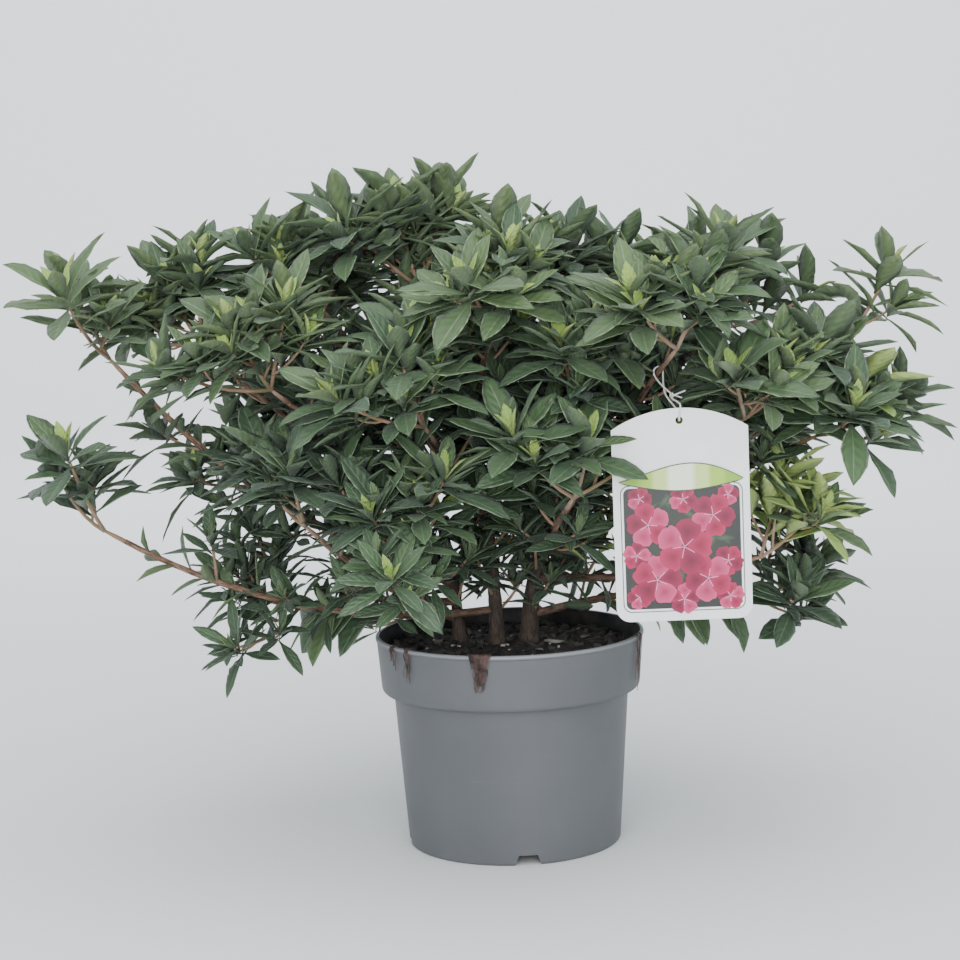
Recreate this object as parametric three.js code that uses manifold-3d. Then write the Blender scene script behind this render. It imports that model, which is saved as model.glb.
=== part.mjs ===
// Azalea shrub in its grey nursery pot, with the printed picture card that hangs in it.
// Millimetres, +Z up. The origin lies on the ground under the middle of the pot. The shrub's
// front faces -Y and its longest boughs reach to the left, along -X.
// Three stems rise from the soil. Each carries boughs, and each bough ends where it enters a
// mass of leaves: a few shoots that branch by a seeded rule and end in whorls of leaves.

import * as THREE from 'three';
import { mergeVertices } from 'three/addons/utils/BufferGeometryUtils.js';
import Module from 'manifold-3d';

const wasm = await Module();
wasm.setup();

const UP = new THREE.Vector3(0, 0, 1);
const CLEAR = 0.3;
const SLIVER = 0.05;

// Pot: an injection-moulded three litre container with a deep collar
const RIM_RADIUS = 95;
const POT_HEIGHT = 150;
const COLLAR_HEIGHT = 40.5;
const COLLAR_FOOT_RADIUS = 91.3;
const COLLAR_ROUND = 7;
const BODY_TOP_RADIUS = 83.2;
const FOOT_RADIUS = 75.5;
const WALL = 1.8;
const LIP = 2.6;
const FLOOR_RISE = 8;
const FOOT_RING_WIDTH = 5;
const PAD_RADIUS = 30;
const NOTCH_COUNT = 4;
const NOTCH_BEARING = -83.5;
const NOTCH_BASE = 20;
const NOTCH_TOP = 13;
const NOTCH_DEPTH = 14;
const DRAIN_RADIUS = 5;
const DRAIN_RING = 56;
const DRAIN_SIDES = 10;
const SMALL_BEVEL = 2.2;
const EDGE = 0.7;
const POT_SEGMENTS = 30;

// Soil: fills the pot to a little under its rim
const SOIL_LEVEL = 140;

// Wood: how thick a limb is where it starts and ends, and how its foot flares
const STEM_SIDES = 7;
const STEM_ROWS = 10;
const STEM_TIP_RADIUS = 2.2;
const FLARE = 2.2;
const FLARE_LENGTH = 9;
const BOUGH_SIDES = 5;
const BOUGH_ROWS = 5;
const BOUGH_RADIUS = 3.0;
const BOUGH_TIP_RADIUS = 1.8;
const SWAY = 3;

// Shoots and leaves of the masses
const STALK = 16;
const STALK_RADIUS = 1.7;
const SHOOT_COUNT = 3;
const SHOOT_LENGTH = 62;
const LEADER_SHARE = 0.8;
const SHOOT_RADIUS = 1.5;
const BUD_RADIUS = 3.0;
const SPREAD = 62;
const SPREAD_JITTER = 16;
const TURN_JITTER = 40;
const RISE = 0.65;
const WHORL_DEPTH = 10;
const WHORL_TIERS = [
  { leaves: 4, tilt: 2, size: 1, back: WHORL_DEPTH, turn: 0 },
  { leaves: 3, tilt: 48, size: 0.9, back: 3, turn: 45 },
];
const LEAF_LENGTH = 58;
const LEAF_WIDTH = 26;
const LEAF_THICKNESS = 1.2;
const LEAF_WIDEST = 0.56;
const LEAF_SUNK = 0.9;
const LEAF_SHRINKS = [1, 0.88, 0.76, 0.64];
const LEAF_TURNS = [0, 14, -14, 28, -28];
const LEAF_TURN_JITTER = 12;
const LEAF_TEST_ROWS = 13;
const LEAF_TEST_COLUMNS = [-0.5, -0.25, 0, 0.25, 0.5];
const SPACE_MARGIN = 0.4;
const LIMB_MARGIN = 1.2;
const POT_MARGIN = 3;

// The three stems: foot and tip on the ground plan, the height of the tip, the height to which
// the stem stands upright before it leans, and its radius above the flare
const STEMS = [
  { name: 'stem_left', foot: [-36, 9], tip: [-116, 30], top: 366, upright: 262, radius: 4.0 },
  { name: 'stem_middle', foot: [-9, -3], tip: [-50, 4], top: 380, upright: 282, radius: 5.0 },
  { name: 'stem_right', foot: [14, 3], tip: [146, 18], top: 350, upright: 258, radius: 6.0 },
];

// The boughs: the stem each leaves and the height at which it does, the bearing of its tip
// seen from above (0 is right, 90 back, 180 left, 270 front), how far the tip lies from the
// pot's axis, its height, and how much the bough sags below a straight line on the way. Some
// masses have another number of shoots, a set turn of the first side shoot, or young leaves
const BOUGHS = [
  { name: 'left_high', stem: 0, fork: 197, bearing: 183, reach: 262, top: 340, sag: 28, turn: 15 },
  { name: 'left_top', stem: 0, fork: 246, bearing: 171, reach: 205, top: 346, sag: 12 },
  { name: 'front_left_high', stem: 0, fork: 262, bearing: 206, reach: 160, top: 322, sag: 8 },
  { name: 'front_left', stem: 0, fork: 182, bearing: 236, reach: 132, top: 222, sag: 2, shoots: 4 },
  { name: 'front_left_low', stem: 0, fork: 170, bearing: 208, reach: 142, top: 228, sag: 12, turn: 0 },
  { name: 'left_foot', stem: 0, fork: 157, bearing: 176, reach: 134, top: 172, sag: -8, turn: 240 },
  { name: 'back_left_high', stem: 0, fork: 278, bearing: 142, reach: 162, top: 340, sag: 6 },
  { name: 'back_left', stem: 0, fork: 214, bearing: 146, reach: 190, top: 244, sag: 6 },
  { name: 'left_low', stem: 1, fork: 166, bearing: 187, reach: 266, top: 226, sag: 22, shoots: 2, turn: 150 },
  { name: 'front_high', stem: 1, fork: 292, bearing: 265, reach: 84, top: 358, sag: 4, turn: 300 },
  { name: 'front_middle', stem: 1, fork: 236, bearing: 247, reach: 118, top: 298, sag: 8, shoots: 4 },
  { name: 'front_right_high', stem: 1, fork: 272, bearing: 298, reach: 78, top: 308, sag: 6 },
  { name: 'back_high', stem: 1, fork: 312, bearing: 108, reach: 118, top: 358, sag: 4 },
  { name: 'back_middle', stem: 1, fork: 254, bearing: 88, reach: 150, top: 292, sag: 8 },
  { name: 'crest_right', stem: 2, fork: 222, bearing: 20, reach: 42, top: 350, sag: -4 },
  { name: 'right_high', stem: 2, fork: 268, bearing: 358, reach: 227, top: 340, sag: 14, turn: 10 },
  { name: 'right_middle', stem: 2, fork: 234, bearing: 350, reach: 204, top: 280, sag: 8, shoots: 4 },
  { name: 'right_front', stem: 2, fork: 186, bearing: 343, reach: 165, top: 202, sag: 4, young: true },
  { name: 'right_foot', stem: 2, fork: 160, bearing: 6, reach: 162, top: 168, sag: -8 },
  { name: 'card_bough', stem: 2, fork: 284, bearing: 312, reach: 160, top: 346, sag: 6 },
  { name: 'right_shoulder', stem: 2, fork: 252, bearing: 335, reach: 166, top: 296, sag: 6 },
  { name: 'front_right', stem: 2, fork: 204, bearing: 291, reach: 112, top: 250, sag: 6 },
  { name: 'back_right_high', stem: 2, fork: 300, bearing: 44, reach: 146, top: 346, sag: 4 },
  { name: 'back_right', stem: 2, fork: 244, bearing: 30, reach: 190, top: 262, sag: 6 },
  { name: 'back_low', stem: 2, fork: 196, bearing: 76, reach: 138, top: 202, sag: 2 },
];

// The masses that the stems carry at their own tips
const STEM_MASSES = ['crest_left', 'top', 'crest_far_right'];

// Picture card: an arched card that hangs on a string from the card bough
const CARD_WIDTH = 88;
const CARD_HEIGHT = 138;
const CARD_SHOULDER = 125;
const CARD_CORNER = 9;
const CARD_THICKNESS = 0.8;
const CARD_HOLE_RADIUS = 2.4;
const CARD_HOLE_DROP = 8;
const CARD_MIDDLE = [114, -136];
const CARD_BOTTOM = 179;
const CARD_TURN = -0.6;
const CARD_VIEW_DEPTH = 80;
const CARD_CURVE_STEPS = 6;
const CARD_SPARE = 2;
const STRING_RADIUS = 0.55;
const STRING_SIDES = 3;
const STRING_STEPS = 60;
const STRING_PLACE = 0.9;
const STRING_OFF = 0.7;
const LOOP_SLACK = 1.2;
const LOOP_ANGLES = [-30, 30, 90, 150, 210];
const KNOT_SHARE = 0.45;
const LOOSE_END = 9;

const COLOURS = {
  pot: 0x868b90,
  soil: 0x2c2420,
  wood: 0x6b5647,
  bough: 0x86705b,
  leaves: 0x46653f,
  youngLeaves: 0x6f9447,
  card: 0xe9ebea,
  string: 0xf1f0ea,
};

// A repeatable run of numbers between 0 and 1, one run for each seed
function seeded(seed) {
  let state = seed * 7919 + 17;
  return () => {
    state = (state * 16807) % 2147483647;
    return state / 2147483647;
  };
}

function degrees(angle) {
  return THREE.MathUtils.degToRad(angle);
}

// Closed mesh to solid: shared corners are merged and collapsed triangles dropped
function toSolid(geometry) {
  const bare = geometry.clone();
  bare.deleteAttribute('normal');
  bare.deleteAttribute('uv');
  const merged = mergeVertices(bare, 1e-4);
  const corners = merged.index.array;
  const kept = [];
  for (let i = 0; i < corners.length; i += 3) {
    const [a, b, c] = [corners[i], corners[i + 1], corners[i + 2]];
    if (a !== b && b !== c && c !== a) kept.push(a, b, c);
  }
  const mesh = new wasm.Mesh({
    numProp: 3,
    vertProperties: new Float32Array(merged.attributes.position.array),
    triVerts: new Uint32Array(kept),
  });
  mesh.merge();
  return new wasm.Manifold(mesh);
}

function toGeometry(solid) {
  const { vertProperties, triVerts, numProp } = solid.getMesh();
  const positions = [];
  for (let i = 0; i < vertProperties.length; i += numProp) {
    positions.push(vertProperties[i], vertProperties[i + 1], vertProperties[i + 2]);
  }
  const geometry = new THREE.BufferGeometry();
  geometry.setAttribute('position', new THREE.Float32BufferAttribute(positions, 3));
  geometry.setIndex(Array.from(triVerts));
  return geometry;
}

// Joins solids into one closed body: loose scraps and sealed hollows are left out
function fuse(solids) {
  const joined = wasm.Manifold.union(solids);
  const largest = joined.decompose().reduce((a, b) => (a.volume() > b.volume() ? a : b));
  return largest.simplify(SLIVER);
}

const shrub = new THREE.Group();

function addPiece(name, geometry, colour, roughness) {
  const material = new THREE.MeshStandardMaterial({ color: colour, roughness, metalness: 0 });
  const mesh = new THREE.Mesh(geometry, material);
  mesh.name = name;
  shrub.add(mesh);
}

// A round body about the Z axis, from radius and height pairs that close on themselves
function turned(profile, segments) {
  const points = profile.map(([radius, height]) => new THREE.Vector2(radius, height));
  return new THREE.LatheGeometry(points, segments).rotateX(Math.PI / 2);
}

// Pot

function wallRadius(height) {
  const top = POT_HEIGHT - COLLAR_HEIGHT;
  return THREE.MathUtils.mapLinear(height, 0, top, FOOT_RADIUS, BODY_TOP_RADIUS);
}

function potShell() {
  const collarFoot = POT_HEIGHT - COLLAR_HEIGHT;
  const innerFloor = FLOOR_RISE + WALL;
  const shoulder = collarFoot + COLLAR_ROUND;
  const profile = [
    [0, 0],
    [PAD_RADIUS, 0],
    [PAD_RADIUS, FLOOR_RISE],
    [FOOT_RADIUS - FOOT_RING_WIDTH, FLOOR_RISE],
    [FOOT_RADIUS - FOOT_RING_WIDTH + SMALL_BEVEL, 0],
    [FOOT_RADIUS - SMALL_BEVEL, 0],
    [FOOT_RADIUS, SMALL_BEVEL],
    [wallRadius(collarFoot), collarFoot],
    [COLLAR_FOOT_RADIUS - SMALL_BEVEL, collarFoot + SMALL_BEVEL],
    [COLLAR_FOOT_RADIUS, shoulder],
    [RIM_RADIUS, POT_HEIGHT - LIP],
    [RIM_RADIUS, POT_HEIGHT - EDGE],
    [RIM_RADIUS - EDGE, POT_HEIGHT],
    [RIM_RADIUS - LIP, POT_HEIGHT],
    [RIM_RADIUS - LIP, POT_HEIGHT - LIP],
    [COLLAR_FOOT_RADIUS - WALL, shoulder],
    [wallRadius(collarFoot) - WALL, collarFoot],
    [FOOT_RADIUS - WALL, innerFloor + SMALL_BEVEL],
    [FOOT_RADIUS - WALL - SMALL_BEVEL, innerFloor],
    [PAD_RADIUS + WALL, innerFloor],
    [PAD_RADIUS - WALL, WALL],
    [0, WALL],
  ];
  return toSolid(turned(profile, POT_SEGMENTS));
}

// The openings in the foot ring and the drain holes between them
function potOpenings() {
  const outline = new THREE.Shape([
    new THREE.Vector2(-NOTCH_BASE / 2, -EDGE),
    new THREE.Vector2(NOTCH_BASE / 2, -EDGE),
    new THREE.Vector2(NOTCH_TOP / 2, FLOOR_RISE - EDGE),
    new THREE.Vector2(-NOTCH_TOP / 2, FLOOR_RISE - EDGE),
  ]);
  const cuts = [];
  for (let i = 0; i < NOTCH_COUNT; i += 1) {
    const bearing = degrees(NOTCH_BEARING + (i * 360) / NOTCH_COUNT);
    const notch = new THREE.ExtrudeGeometry(outline, { depth: NOTCH_DEPTH, bevelEnabled: false })
      .rotateX(Math.PI / 2)
      .rotateZ(Math.PI / 2)
      .translate(FOOT_RADIUS - FOOT_RING_WIDTH - NOTCH_DEPTH / 3, 0, 0)
      .rotateZ(bearing);
    cuts.push(toSolid(notch));
    const drain = new THREE.CylinderGeometry(DRAIN_RADIUS, DRAIN_RADIUS, 3 * WALL, DRAIN_SIDES)
      .rotateX(Math.PI / 2)
      .translate(DRAIN_RING, 0, FLOOR_RISE + WALL / 2)
      .rotateZ(bearing);
    cuts.push(toSolid(drain));
  }
  return wasm.Manifold.union(cuts);
}

addPiece('pot', toGeometry(potShell().subtract(potOpenings())), COLOURS.pot, 0.55);

// Soil

function soilBody() {
  const innerFloor = FLOOR_RISE + WALL + CLEAR;
  const collarFoot = POT_HEIGHT - COLLAR_HEIGHT;
  const inside = WALL + CLEAR;
  const shoulder = collarFoot + COLLAR_ROUND;
  const levelShare = (SOIL_LEVEL - shoulder) / (POT_HEIGHT - LIP - shoulder);
  const topRadius = THREE.MathUtils.lerp(COLLAR_FOOT_RADIUS - inside, RIM_RADIUS - LIP - CLEAR, levelShare);
  return turned(
    [
      [0, innerFloor],
      [FOOT_RADIUS - inside - SMALL_BEVEL, innerFloor],
      [FOOT_RADIUS - inside, innerFloor + SMALL_BEVEL],
      [wallRadius(collarFoot) - inside, collarFoot + CLEAR],
      [COLLAR_FOOT_RADIUS - inside - CLEAR, shoulder],
      [topRadius - 2 * CLEAR, SOIL_LEVEL],
      [0, SOIL_LEVEL],
    ],
    POT_SEGMENTS,
  );
}

addPiece('soil', soilBody(), COLOURS.soil, 0.95);

// Limbs

// The line of a stem: upright at its foot, then leaning over to its tip
class StemLine extends THREE.Curve {
  constructor(stem) {
    super();
    this.foot = new THREE.Vector3(...stem.foot, SOIL_LEVEL + CLEAR);
    this.bend = new THREE.Vector3(...stem.foot, stem.upright);
    this.tip = new THREE.Vector3(...stem.tip, stem.top);
  }

  getPoint(t, target = new THREE.Vector3()) {
    return target
      .copy(this.foot)
      .multiplyScalar((1 - t) ** 2)
      .addScaledVector(this.bend, 2 * t * (1 - t))
      .addScaledVector(this.tip, t * t);
  }
}

// The line of a bough: out from its stem and up to its tip, sagging and swaying a little
class BoughLine extends THREE.Curve {
  constructor(start, tip, sag, sway) {
    super();
    this.start = start;
    this.tip = tip;
    this.sag = sag;
    this.sway = sway;
    this.side = new THREE.Vector3().subVectors(tip, start).cross(UP).normalize();
  }

  getPoint(t, target = new THREE.Vector3()) {
    target.lerpVectors(this.start, this.tip, t);
    target.addScaledVector(UP, -4 * this.sag * t * (1 - t));
    return target.addScaledVector(this.side, this.sway * Math.sin(2 * Math.PI * t));
  }
}

// A limb with a taper along a line: a closed turned body whose rings are laid along the line
function limbBody(line, radiusAt, sides, rows) {
  const length = line.getLength();
  const profile = [new THREE.Vector2(0, 0)];
  for (let row = 0; row <= rows; row += 1) {
    profile.push(new THREE.Vector2(radiusAt(row / rows, length), row));
  }
  profile.push(new THREE.Vector2(0, rows));
  const body = new THREE.LatheGeometry(profile, sides);
  const frames = line.computeFrenetFrames(rows, false);
  const places = body.attributes.position;
  const centre = new THREE.Vector3();
  for (let i = 0; i < places.count; i += 1) {
    const row = Math.round(places.getY(i));
    line.getPointAt(row / rows, centre);
    centre.addScaledVector(frames.binormals[row], places.getX(i));
    centre.addScaledVector(frames.normals[row], places.getZ(i));
    places.setXYZ(i, centre.x, centre.y, centre.z);
  }
  return body;
}

// Points along a limb with its radius there, from which leaves keep clear
function limbSamples(line, radiusAt) {
  const length = line.getLength();
  const count = Math.ceil(length / 2);
  const samples = [];
  for (let i = 0; i <= count; i += 1) {
    samples.push({ at: line.getPointAt(i / count), radius: radiusAt(i / count, length) });
  }
  return samples;
}

const obstacles = [];
const tips = [];

function stemRadius(stem) {
  return (t, length) =>
    THREE.MathUtils.lerp(stem.radius, STEM_TIP_RADIUS, t) + FLARE * Math.exp((-t * length) / FLARE_LENGTH);
}

function boughRadius(t) {
  return THREE.MathUtils.lerp(BOUGH_RADIUS, BOUGH_TIP_RADIUS, t);
}

function noteTip(name, line, shape = {}) {
  tips.push({ name, at: line.getPointAt(1), along: line.getTangentAt(1), ...shape });
}

const stemLines = STEMS.map((stem) => new StemLine(stem));

STEMS.forEach((stem, i) => {
  const line = stemLines[i];
  const radiusAt = stemRadius(stem);
  addPiece(stem.name, limbBody(line, radiusAt, STEM_SIDES, STEM_ROWS), COLOURS.wood, 0.85);
  obstacles.push(...limbSamples(line, radiusAt));
  noteTip(STEM_MASSES[i], line);
});

// A stem with the clearance round it, which cuts the saddle at each bough's start
const stemCutters = STEMS.map((stem, i) => {
  const radiusAt = stemRadius(stem);
  const grown = (t, length) => radiusAt(t, length) + CLEAR * 1.15;
  return toSolid(limbBody(stemLines[i], grown, STEM_SIDES, STEM_ROWS));
});

function stemPointAtHeight(line, height) {
  let low = 0;
  let high = 1;
  for (let i = 0; i < 40; i += 1) {
    const middle = (low + high) / 2;
    if (line.getPoint(middle).z < height) low = middle;
    else high = middle;
  }
  return line.getPoint(low);
}

const boughLines = {};

BOUGHS.forEach((bough, i) => {
  const start = stemPointAtHeight(stemLines[bough.stem], bough.fork);
  const bearing = degrees(bough.bearing);
  const tip = new THREE.Vector3(bough.reach * Math.cos(bearing), bough.reach * Math.sin(bearing), bough.top);
  const sway = (i % 2 === 0 ? 1 : -1) * SWAY;
  const line = new BoughLine(start, tip, bough.sag, sway);
  boughLines[bough.name] = line;
  const whole = toSolid(limbBody(line, boughRadius, BOUGH_SIDES, BOUGH_ROWS));
  const body = fuse([whole.subtract(stemCutters[bough.stem])]);
  addPiece(`bough_${bough.name}`, toGeometry(body), COLOURS.bough, 0.8);
  obstacles.push(...limbSamples(line, boughRadius));
  noteTip(bough.name, line, { turn: bough.turn, count: bough.shoots, young: bough.young });
});

// Picture card on its string

// The card's outline: square at its foot with round corners, arched at its head, with a hole
function cardOutline() {
  const half = CARD_WIDTH / 2;
  const arch = CARD_HEIGHT - CARD_SHOULDER;
  const archRadius = (half * half + arch * arch) / (2 * arch);
  const archAngle = Math.asin(half / archRadius);
  const outline = new THREE.Shape();
  outline.moveTo(-half + CARD_CORNER, 0);
  outline.lineTo(half - CARD_CORNER, 0);
  outline.absarc(half - CARD_CORNER, CARD_CORNER, CARD_CORNER, -Math.PI / 2, 0, false);
  const archFrom = Math.PI / 2 - archAngle;
  const archTo = Math.PI / 2 + archAngle;
  outline.absarc(0, CARD_HEIGHT - archRadius, archRadius, archFrom, archTo, false);
  outline.absarc(-half + CARD_CORNER, CARD_CORNER, CARD_CORNER, Math.PI, 1.5 * Math.PI, false);
  const hole = new THREE.Path();
  hole.absarc(0, CARD_HEIGHT - CARD_HOLE_DROP, CARD_HOLE_RADIUS, 0, 2 * Math.PI, true);
  outline.holes.push(hole);
  return outline;
}

function cardBody() {
  const body = new THREE.ExtrudeGeometry(cardOutline(), {
    depth: CARD_THICKNESS,
    bevelEnabled: false,
    curveSegments: CARD_CURVE_STEPS,
  });
  return body
    .rotateX(Math.PI / 2)
    .rotateY(degrees(CARD_TURN))
    .translate(CARD_MIDDLE[0], CARD_MIDDLE[1], CARD_BOTTOM);
}

// The room that leaves leave free: the card, and the view of it from the front
const cardBox = new THREE.Box3().setFromBufferAttribute(cardBody().attributes.position);
cardBox.expandByScalar(CARD_SPARE);
cardBox.min.y -= CARD_VIEW_DEPTH;
addPiece('picture_card', cardBody(), COLOURS.card, 0.3);

// The string: from its knot over the bough, down through the hole in the card and back up in
// front of the card to the knot, where both its ends stand loose
function stringLine() {
  const line = boughLines.card_bough;
  const over = line.getPointAt(STRING_PLACE);
  const across = new THREE.Vector3().crossVectors(line.getTangentAt(STRING_PLACE), UP).normalize();
  const loop = boughRadius(STRING_PLACE) + STRING_RADIUS + LOOP_SLACK;
  const overBough = LOOP_ANGLES.map((angle) =>
    over.clone()
      .addScaledVector(across, loop * Math.cos(degrees(angle)))
      .addScaledVector(UP, loop * Math.sin(degrees(angle))));
  const holeHeight = CARD_HEIGHT - CARD_HOLE_DROP;
  const hole = new THREE.Vector3(
    CARD_MIDDLE[0] + holeHeight * Math.sin(degrees(CARD_TURN)),
    CARD_MIDDLE[1] - CARD_THICKNESS / 2,
    CARD_BOTTOM + holeHeight * Math.cos(degrees(CARD_TURN)),
  );
  const knot = new THREE.Vector3().lerpVectors(over, hole, KNOT_SHARE);
  const beside = (point, x, y, z) => new THREE.Vector3(x, y, z).add(point);
  const off = CARD_THICKNESS / 2 + STRING_RADIUS + STRING_OFF;
  return new THREE.CatmullRomCurve3([
    beside(knot, LOOSE_END, -1, -3),
    beside(knot, 2.2, 0, 0),
    ...overBough,
    beside(knot, -1.5, 2, 0),
    beside(hole, -0.4, off + STRING_OFF, CARD_HOLE_DROP / 2 + 1),
    beside(hole, 0, off, 0.4),
    hole,
    beside(hole, 0, -off, 0.4),
    beside(hole, 0.4, -off, CARD_HOLE_DROP / 2 + 1),
    beside(hole, 0.8, -off, CARD_HOLE_DROP + 2),
    beside(knot, 2.4, -3.4, -2),
    beside(knot, LOOSE_END + 2, -4, 2),
  ]);
}

const stringRoute = stringLine();
const stringThickness = () => STRING_RADIUS;
addPiece(
  'card_string',
  limbBody(stringRoute, stringThickness, STRING_SIDES, STRING_STEPS),
  COLOURS.string,
  0.8,
);
obstacles.push(...limbSamples(stringRoute, stringThickness));

// Masses of leaves

// A leaf of six faces: from its foot to its point, widest past the middle, flat with a low keel
function leafBody(foot, along, face, length, width) {
  const body = new THREE.SphereGeometry(1, 3, 2);
  const across = new THREE.Vector3().crossVectors(face, along).normalize();
  const upward = new THREE.Vector3().crossVectors(along, across);
  const places = body.attributes.position;
  const corner = new THREE.Vector3();
  for (let i = 0; i < places.count; i += 1) {
    const [w, u, v] = [places.getX(i), places.getY(i), places.getZ(i)];
    const station = Math.abs(u) < 0.5 ? LEAF_WIDEST * length : ((u + 1) / 2) * length;
    corner.copy(foot).addScaledVector(along, station);
    corner.addScaledVector(across, (v * width) / Math.sqrt(3));
    corner.addScaledVector(upward, (w * LEAF_THICKNESS * 2) / 3);
    places.setXYZ(i, corner.x, corner.y, corner.z);
  }
  return body;
}

// The directions of a mass's shoots: one leads on, the others spread round it, and all rise
function shootDirections(along, count, start, random) {
  const side = new THREE.Vector3().crossVectors(along, UP).normalize();
  const over = new THREE.Vector3().crossVectors(side, along);
  const directions = [along.clone().addScaledVector(UP, RISE).normalize()];
  for (let i = 1; i < count; i += 1) {
    const turn = degrees(start + ((i - 1) * 360) / (count - 1) + (random() - 0.5) * TURN_JITTER);
    const lean = degrees(SPREAD + (random() - 0.5) * SPREAD_JITTER);
    const direction = along
      .clone()
      .multiplyScalar(Math.cos(lean))
      .addScaledVector(side, Math.sin(lean) * Math.cos(turn))
      .addScaledVector(over, Math.sin(lean) * Math.sin(turn))
      .addScaledVector(UP, RISE);
    directions.push(direction.normalize());
  }
  return directions;
}

// The shoots of one mass, from the seed of its place in the list
function shootsOf(tip, seed, count) {
  const random = seeded(seed);
  const fork = tip.at.clone().addScaledVector(tip.along, STALK);
  const start = tip.turn ?? random() * 360;
  return shootDirections(tip.along, count, start, random).map((direction, i) => {
    const length = SHOOT_LENGTH * (i === 0 ? LEADER_SHARE : 1) * (0.9 + 0.25 * random());
    const end = fork.clone().addScaledVector(direction, length);
    return { fork, direction, end, turn: random() * 360 };
  });
}

const masses = tips.map((tip, i) => {
  return { ...tip, seed: i + 1, shoots: shootsOf(tip, i + 1, tip.count ?? SHOOT_COUNT) };
});
const allShoots = masses.flatMap((mass) => mass.shoots);

masses.forEach((mass) => {
  const stalk = new THREE.LineCurve3(mass.at, mass.shoots[0].fork);
  const lines = [stalk, ...mass.shoots.map((shoot) => new THREE.LineCurve3(shoot.fork, shoot.end))];
  lines.forEach((line) => {
    limbSamples(line, () => BUD_RADIUS).forEach((sample) => obstacles.push({ ...sample, owner: mass.name }));
  });
});

// How far a point lies on its own side of the plane midway between two places
function roomBetween(point, own, other) {
  return (point.distanceToSquared(other) - point.distanceToSquared(own)) / (2 * other.distanceTo(own));
}

// How far a point lies inside the space of one shoot, which the ends of all others bound
function roomRound(point, shoot) {
  const others = allShoots.filter((other) => other !== shoot);
  return Math.min(...others.map((other) => roomBetween(point, shoot.end, other.end)));
}

// Whether a point keeps clear of the pot, the card, every limb and the shoots of other masses
function clearOfThings(point, margin, mass) {
  const overPot = Math.hypot(point.x, point.y) < RIM_RADIUS + POT_MARGIN;
  if (overPot && point.z < POT_HEIGHT + POT_MARGIN) return false;
  if (cardBox.containsPoint(point)) return false;
  const others = obstacles.filter(({ owner }) => owner !== mass.name);
  return others.every(({ at, radius }) => at.distanceTo(point) > radius + margin);
}

// Whether a leaf keeps to its space and clear of the limbs, tested at points spread over it
function leafFits(mass, shoot, foot, along, face, length, width) {
  const across = new THREE.Vector3().crossVectors(face, along).normalize();
  for (let row = 1; row <= LEAF_TEST_ROWS; row += 1) {
    const station = row / LEAF_TEST_ROWS;
    const broad = station < LEAF_WIDEST ? station / LEAF_WIDEST : (1 - station) / (1 - LEAF_WIDEST);
    for (const sideways of LEAF_TEST_COLUMNS) {
      const point = foot.clone().addScaledVector(along, station * length);
      point.addScaledVector(across, sideways * broad * width);
      if (roomRound(point, shoot) < SPACE_MARGIN + LEAF_THICKNESS / 2) return false;
      if (!clearOfThings(point, LIMB_MARGIN + LEAF_THICKNESS / 2, mass)) return false;
    }
  }
  return true;
}

// The direction at an angle from one of two square directions towards the other
function pointing(from, towards, angle) {
  return from.clone().multiplyScalar(Math.cos(angle)).addScaledVector(towards, Math.sin(angle));
}

// The largest leaf near its wanted turn that fits, or none
function firstFittingLeaf(mass, shoot, { side, over, turn, tilt, node, size }) {
  for (const shrink of LEAF_SHRINKS) {
    for (const turnAside of LEAF_TURNS) {
      const outward = pointing(side, over, degrees(turn + turnAside));
      const along = pointing(outward, shoot.direction, tilt);
      const face = pointing(shoot.direction, outward.clone().negate(), tilt);
      const foot = node.clone().addScaledVector(along, -LEAF_SUNK);
      const length = LEAF_LENGTH * size * shrink;
      const width = LEAF_WIDTH * size * shrink;
      if (leafFits(mass, shoot, foot, along, face, length, width)) {
        return leafBody(foot, along, face, length, width);
      }
    }
  }
  return null;
}

// A whorl: tiers of leaves set round the end of a shoot, the lower lying flat, the upper raised
function whorl(mass, shoot, random) {
  const { direction, end } = shoot;
  const aside = Math.abs(direction.z) > 0.95 ? new THREE.Vector3(1, 0, 0) : UP;
  const side = new THREE.Vector3().crossVectors(direction, aside).normalize();
  const over = new THREE.Vector3().crossVectors(side, direction);
  const leaves = [];
  WHORL_TIERS.forEach((tier) => {
    for (let i = 0; i < tier.leaves; i += 1) {
      const turn = shoot.turn + tier.turn + (i * 360) / tier.leaves + (random() - 0.5) * LEAF_TURN_JITTER;
      const node = end.clone().addScaledVector(direction, -tier.back);
      const size = tier.size * (0.9 + 0.2 * random());
      const leaf = firstFittingLeaf(mass, shoot, { side, over, turn, tilt: degrees(tier.tilt), node, size });
      if (leaf) leaves.push(leaf);
    }
  });
  return leaves;
}

// A three-sided twig between two points, which thickens or thins on the way
function twigBody(start, end, startRadius, endRadius) {
  const along = new THREE.Vector3().subVectors(end, start);
  const length = along.length();
  const turn = new THREE.Quaternion().setFromUnitVectors(new THREE.Vector3(0, 1, 0), along.normalize());
  return new THREE.CylinderGeometry(endRadius, startRadius, length, 3, 1)
    .translate(0, length / 2, 0)
    .applyQuaternion(turn)
    .translate(start.x, start.y, start.z);
}

// Whether a shoot stays in the space of its own mass and clear of the limbs
function shootFits(shoot, mass) {
  const others = allShoots.filter((other) => !mass.shoots.includes(other));
  for (let t = 0.2; t <= 1; t += 0.1) {
    const point = new THREE.Vector3().lerpVectors(shoot.fork, shoot.end, t);
    const nearestOwn = Math.min(...mass.shoots.map((own) => own.end.distanceTo(point)));
    const nearestOther = Math.min(...others.map((other) => other.end.distanceTo(point)));
    if (nearestOther - nearestOwn < BUD_RADIUS) return false;
    if (!clearOfThings(point, BUD_RADIUS + LIMB_MARGIN, mass)) return false;
  }
  return true;
}

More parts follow.
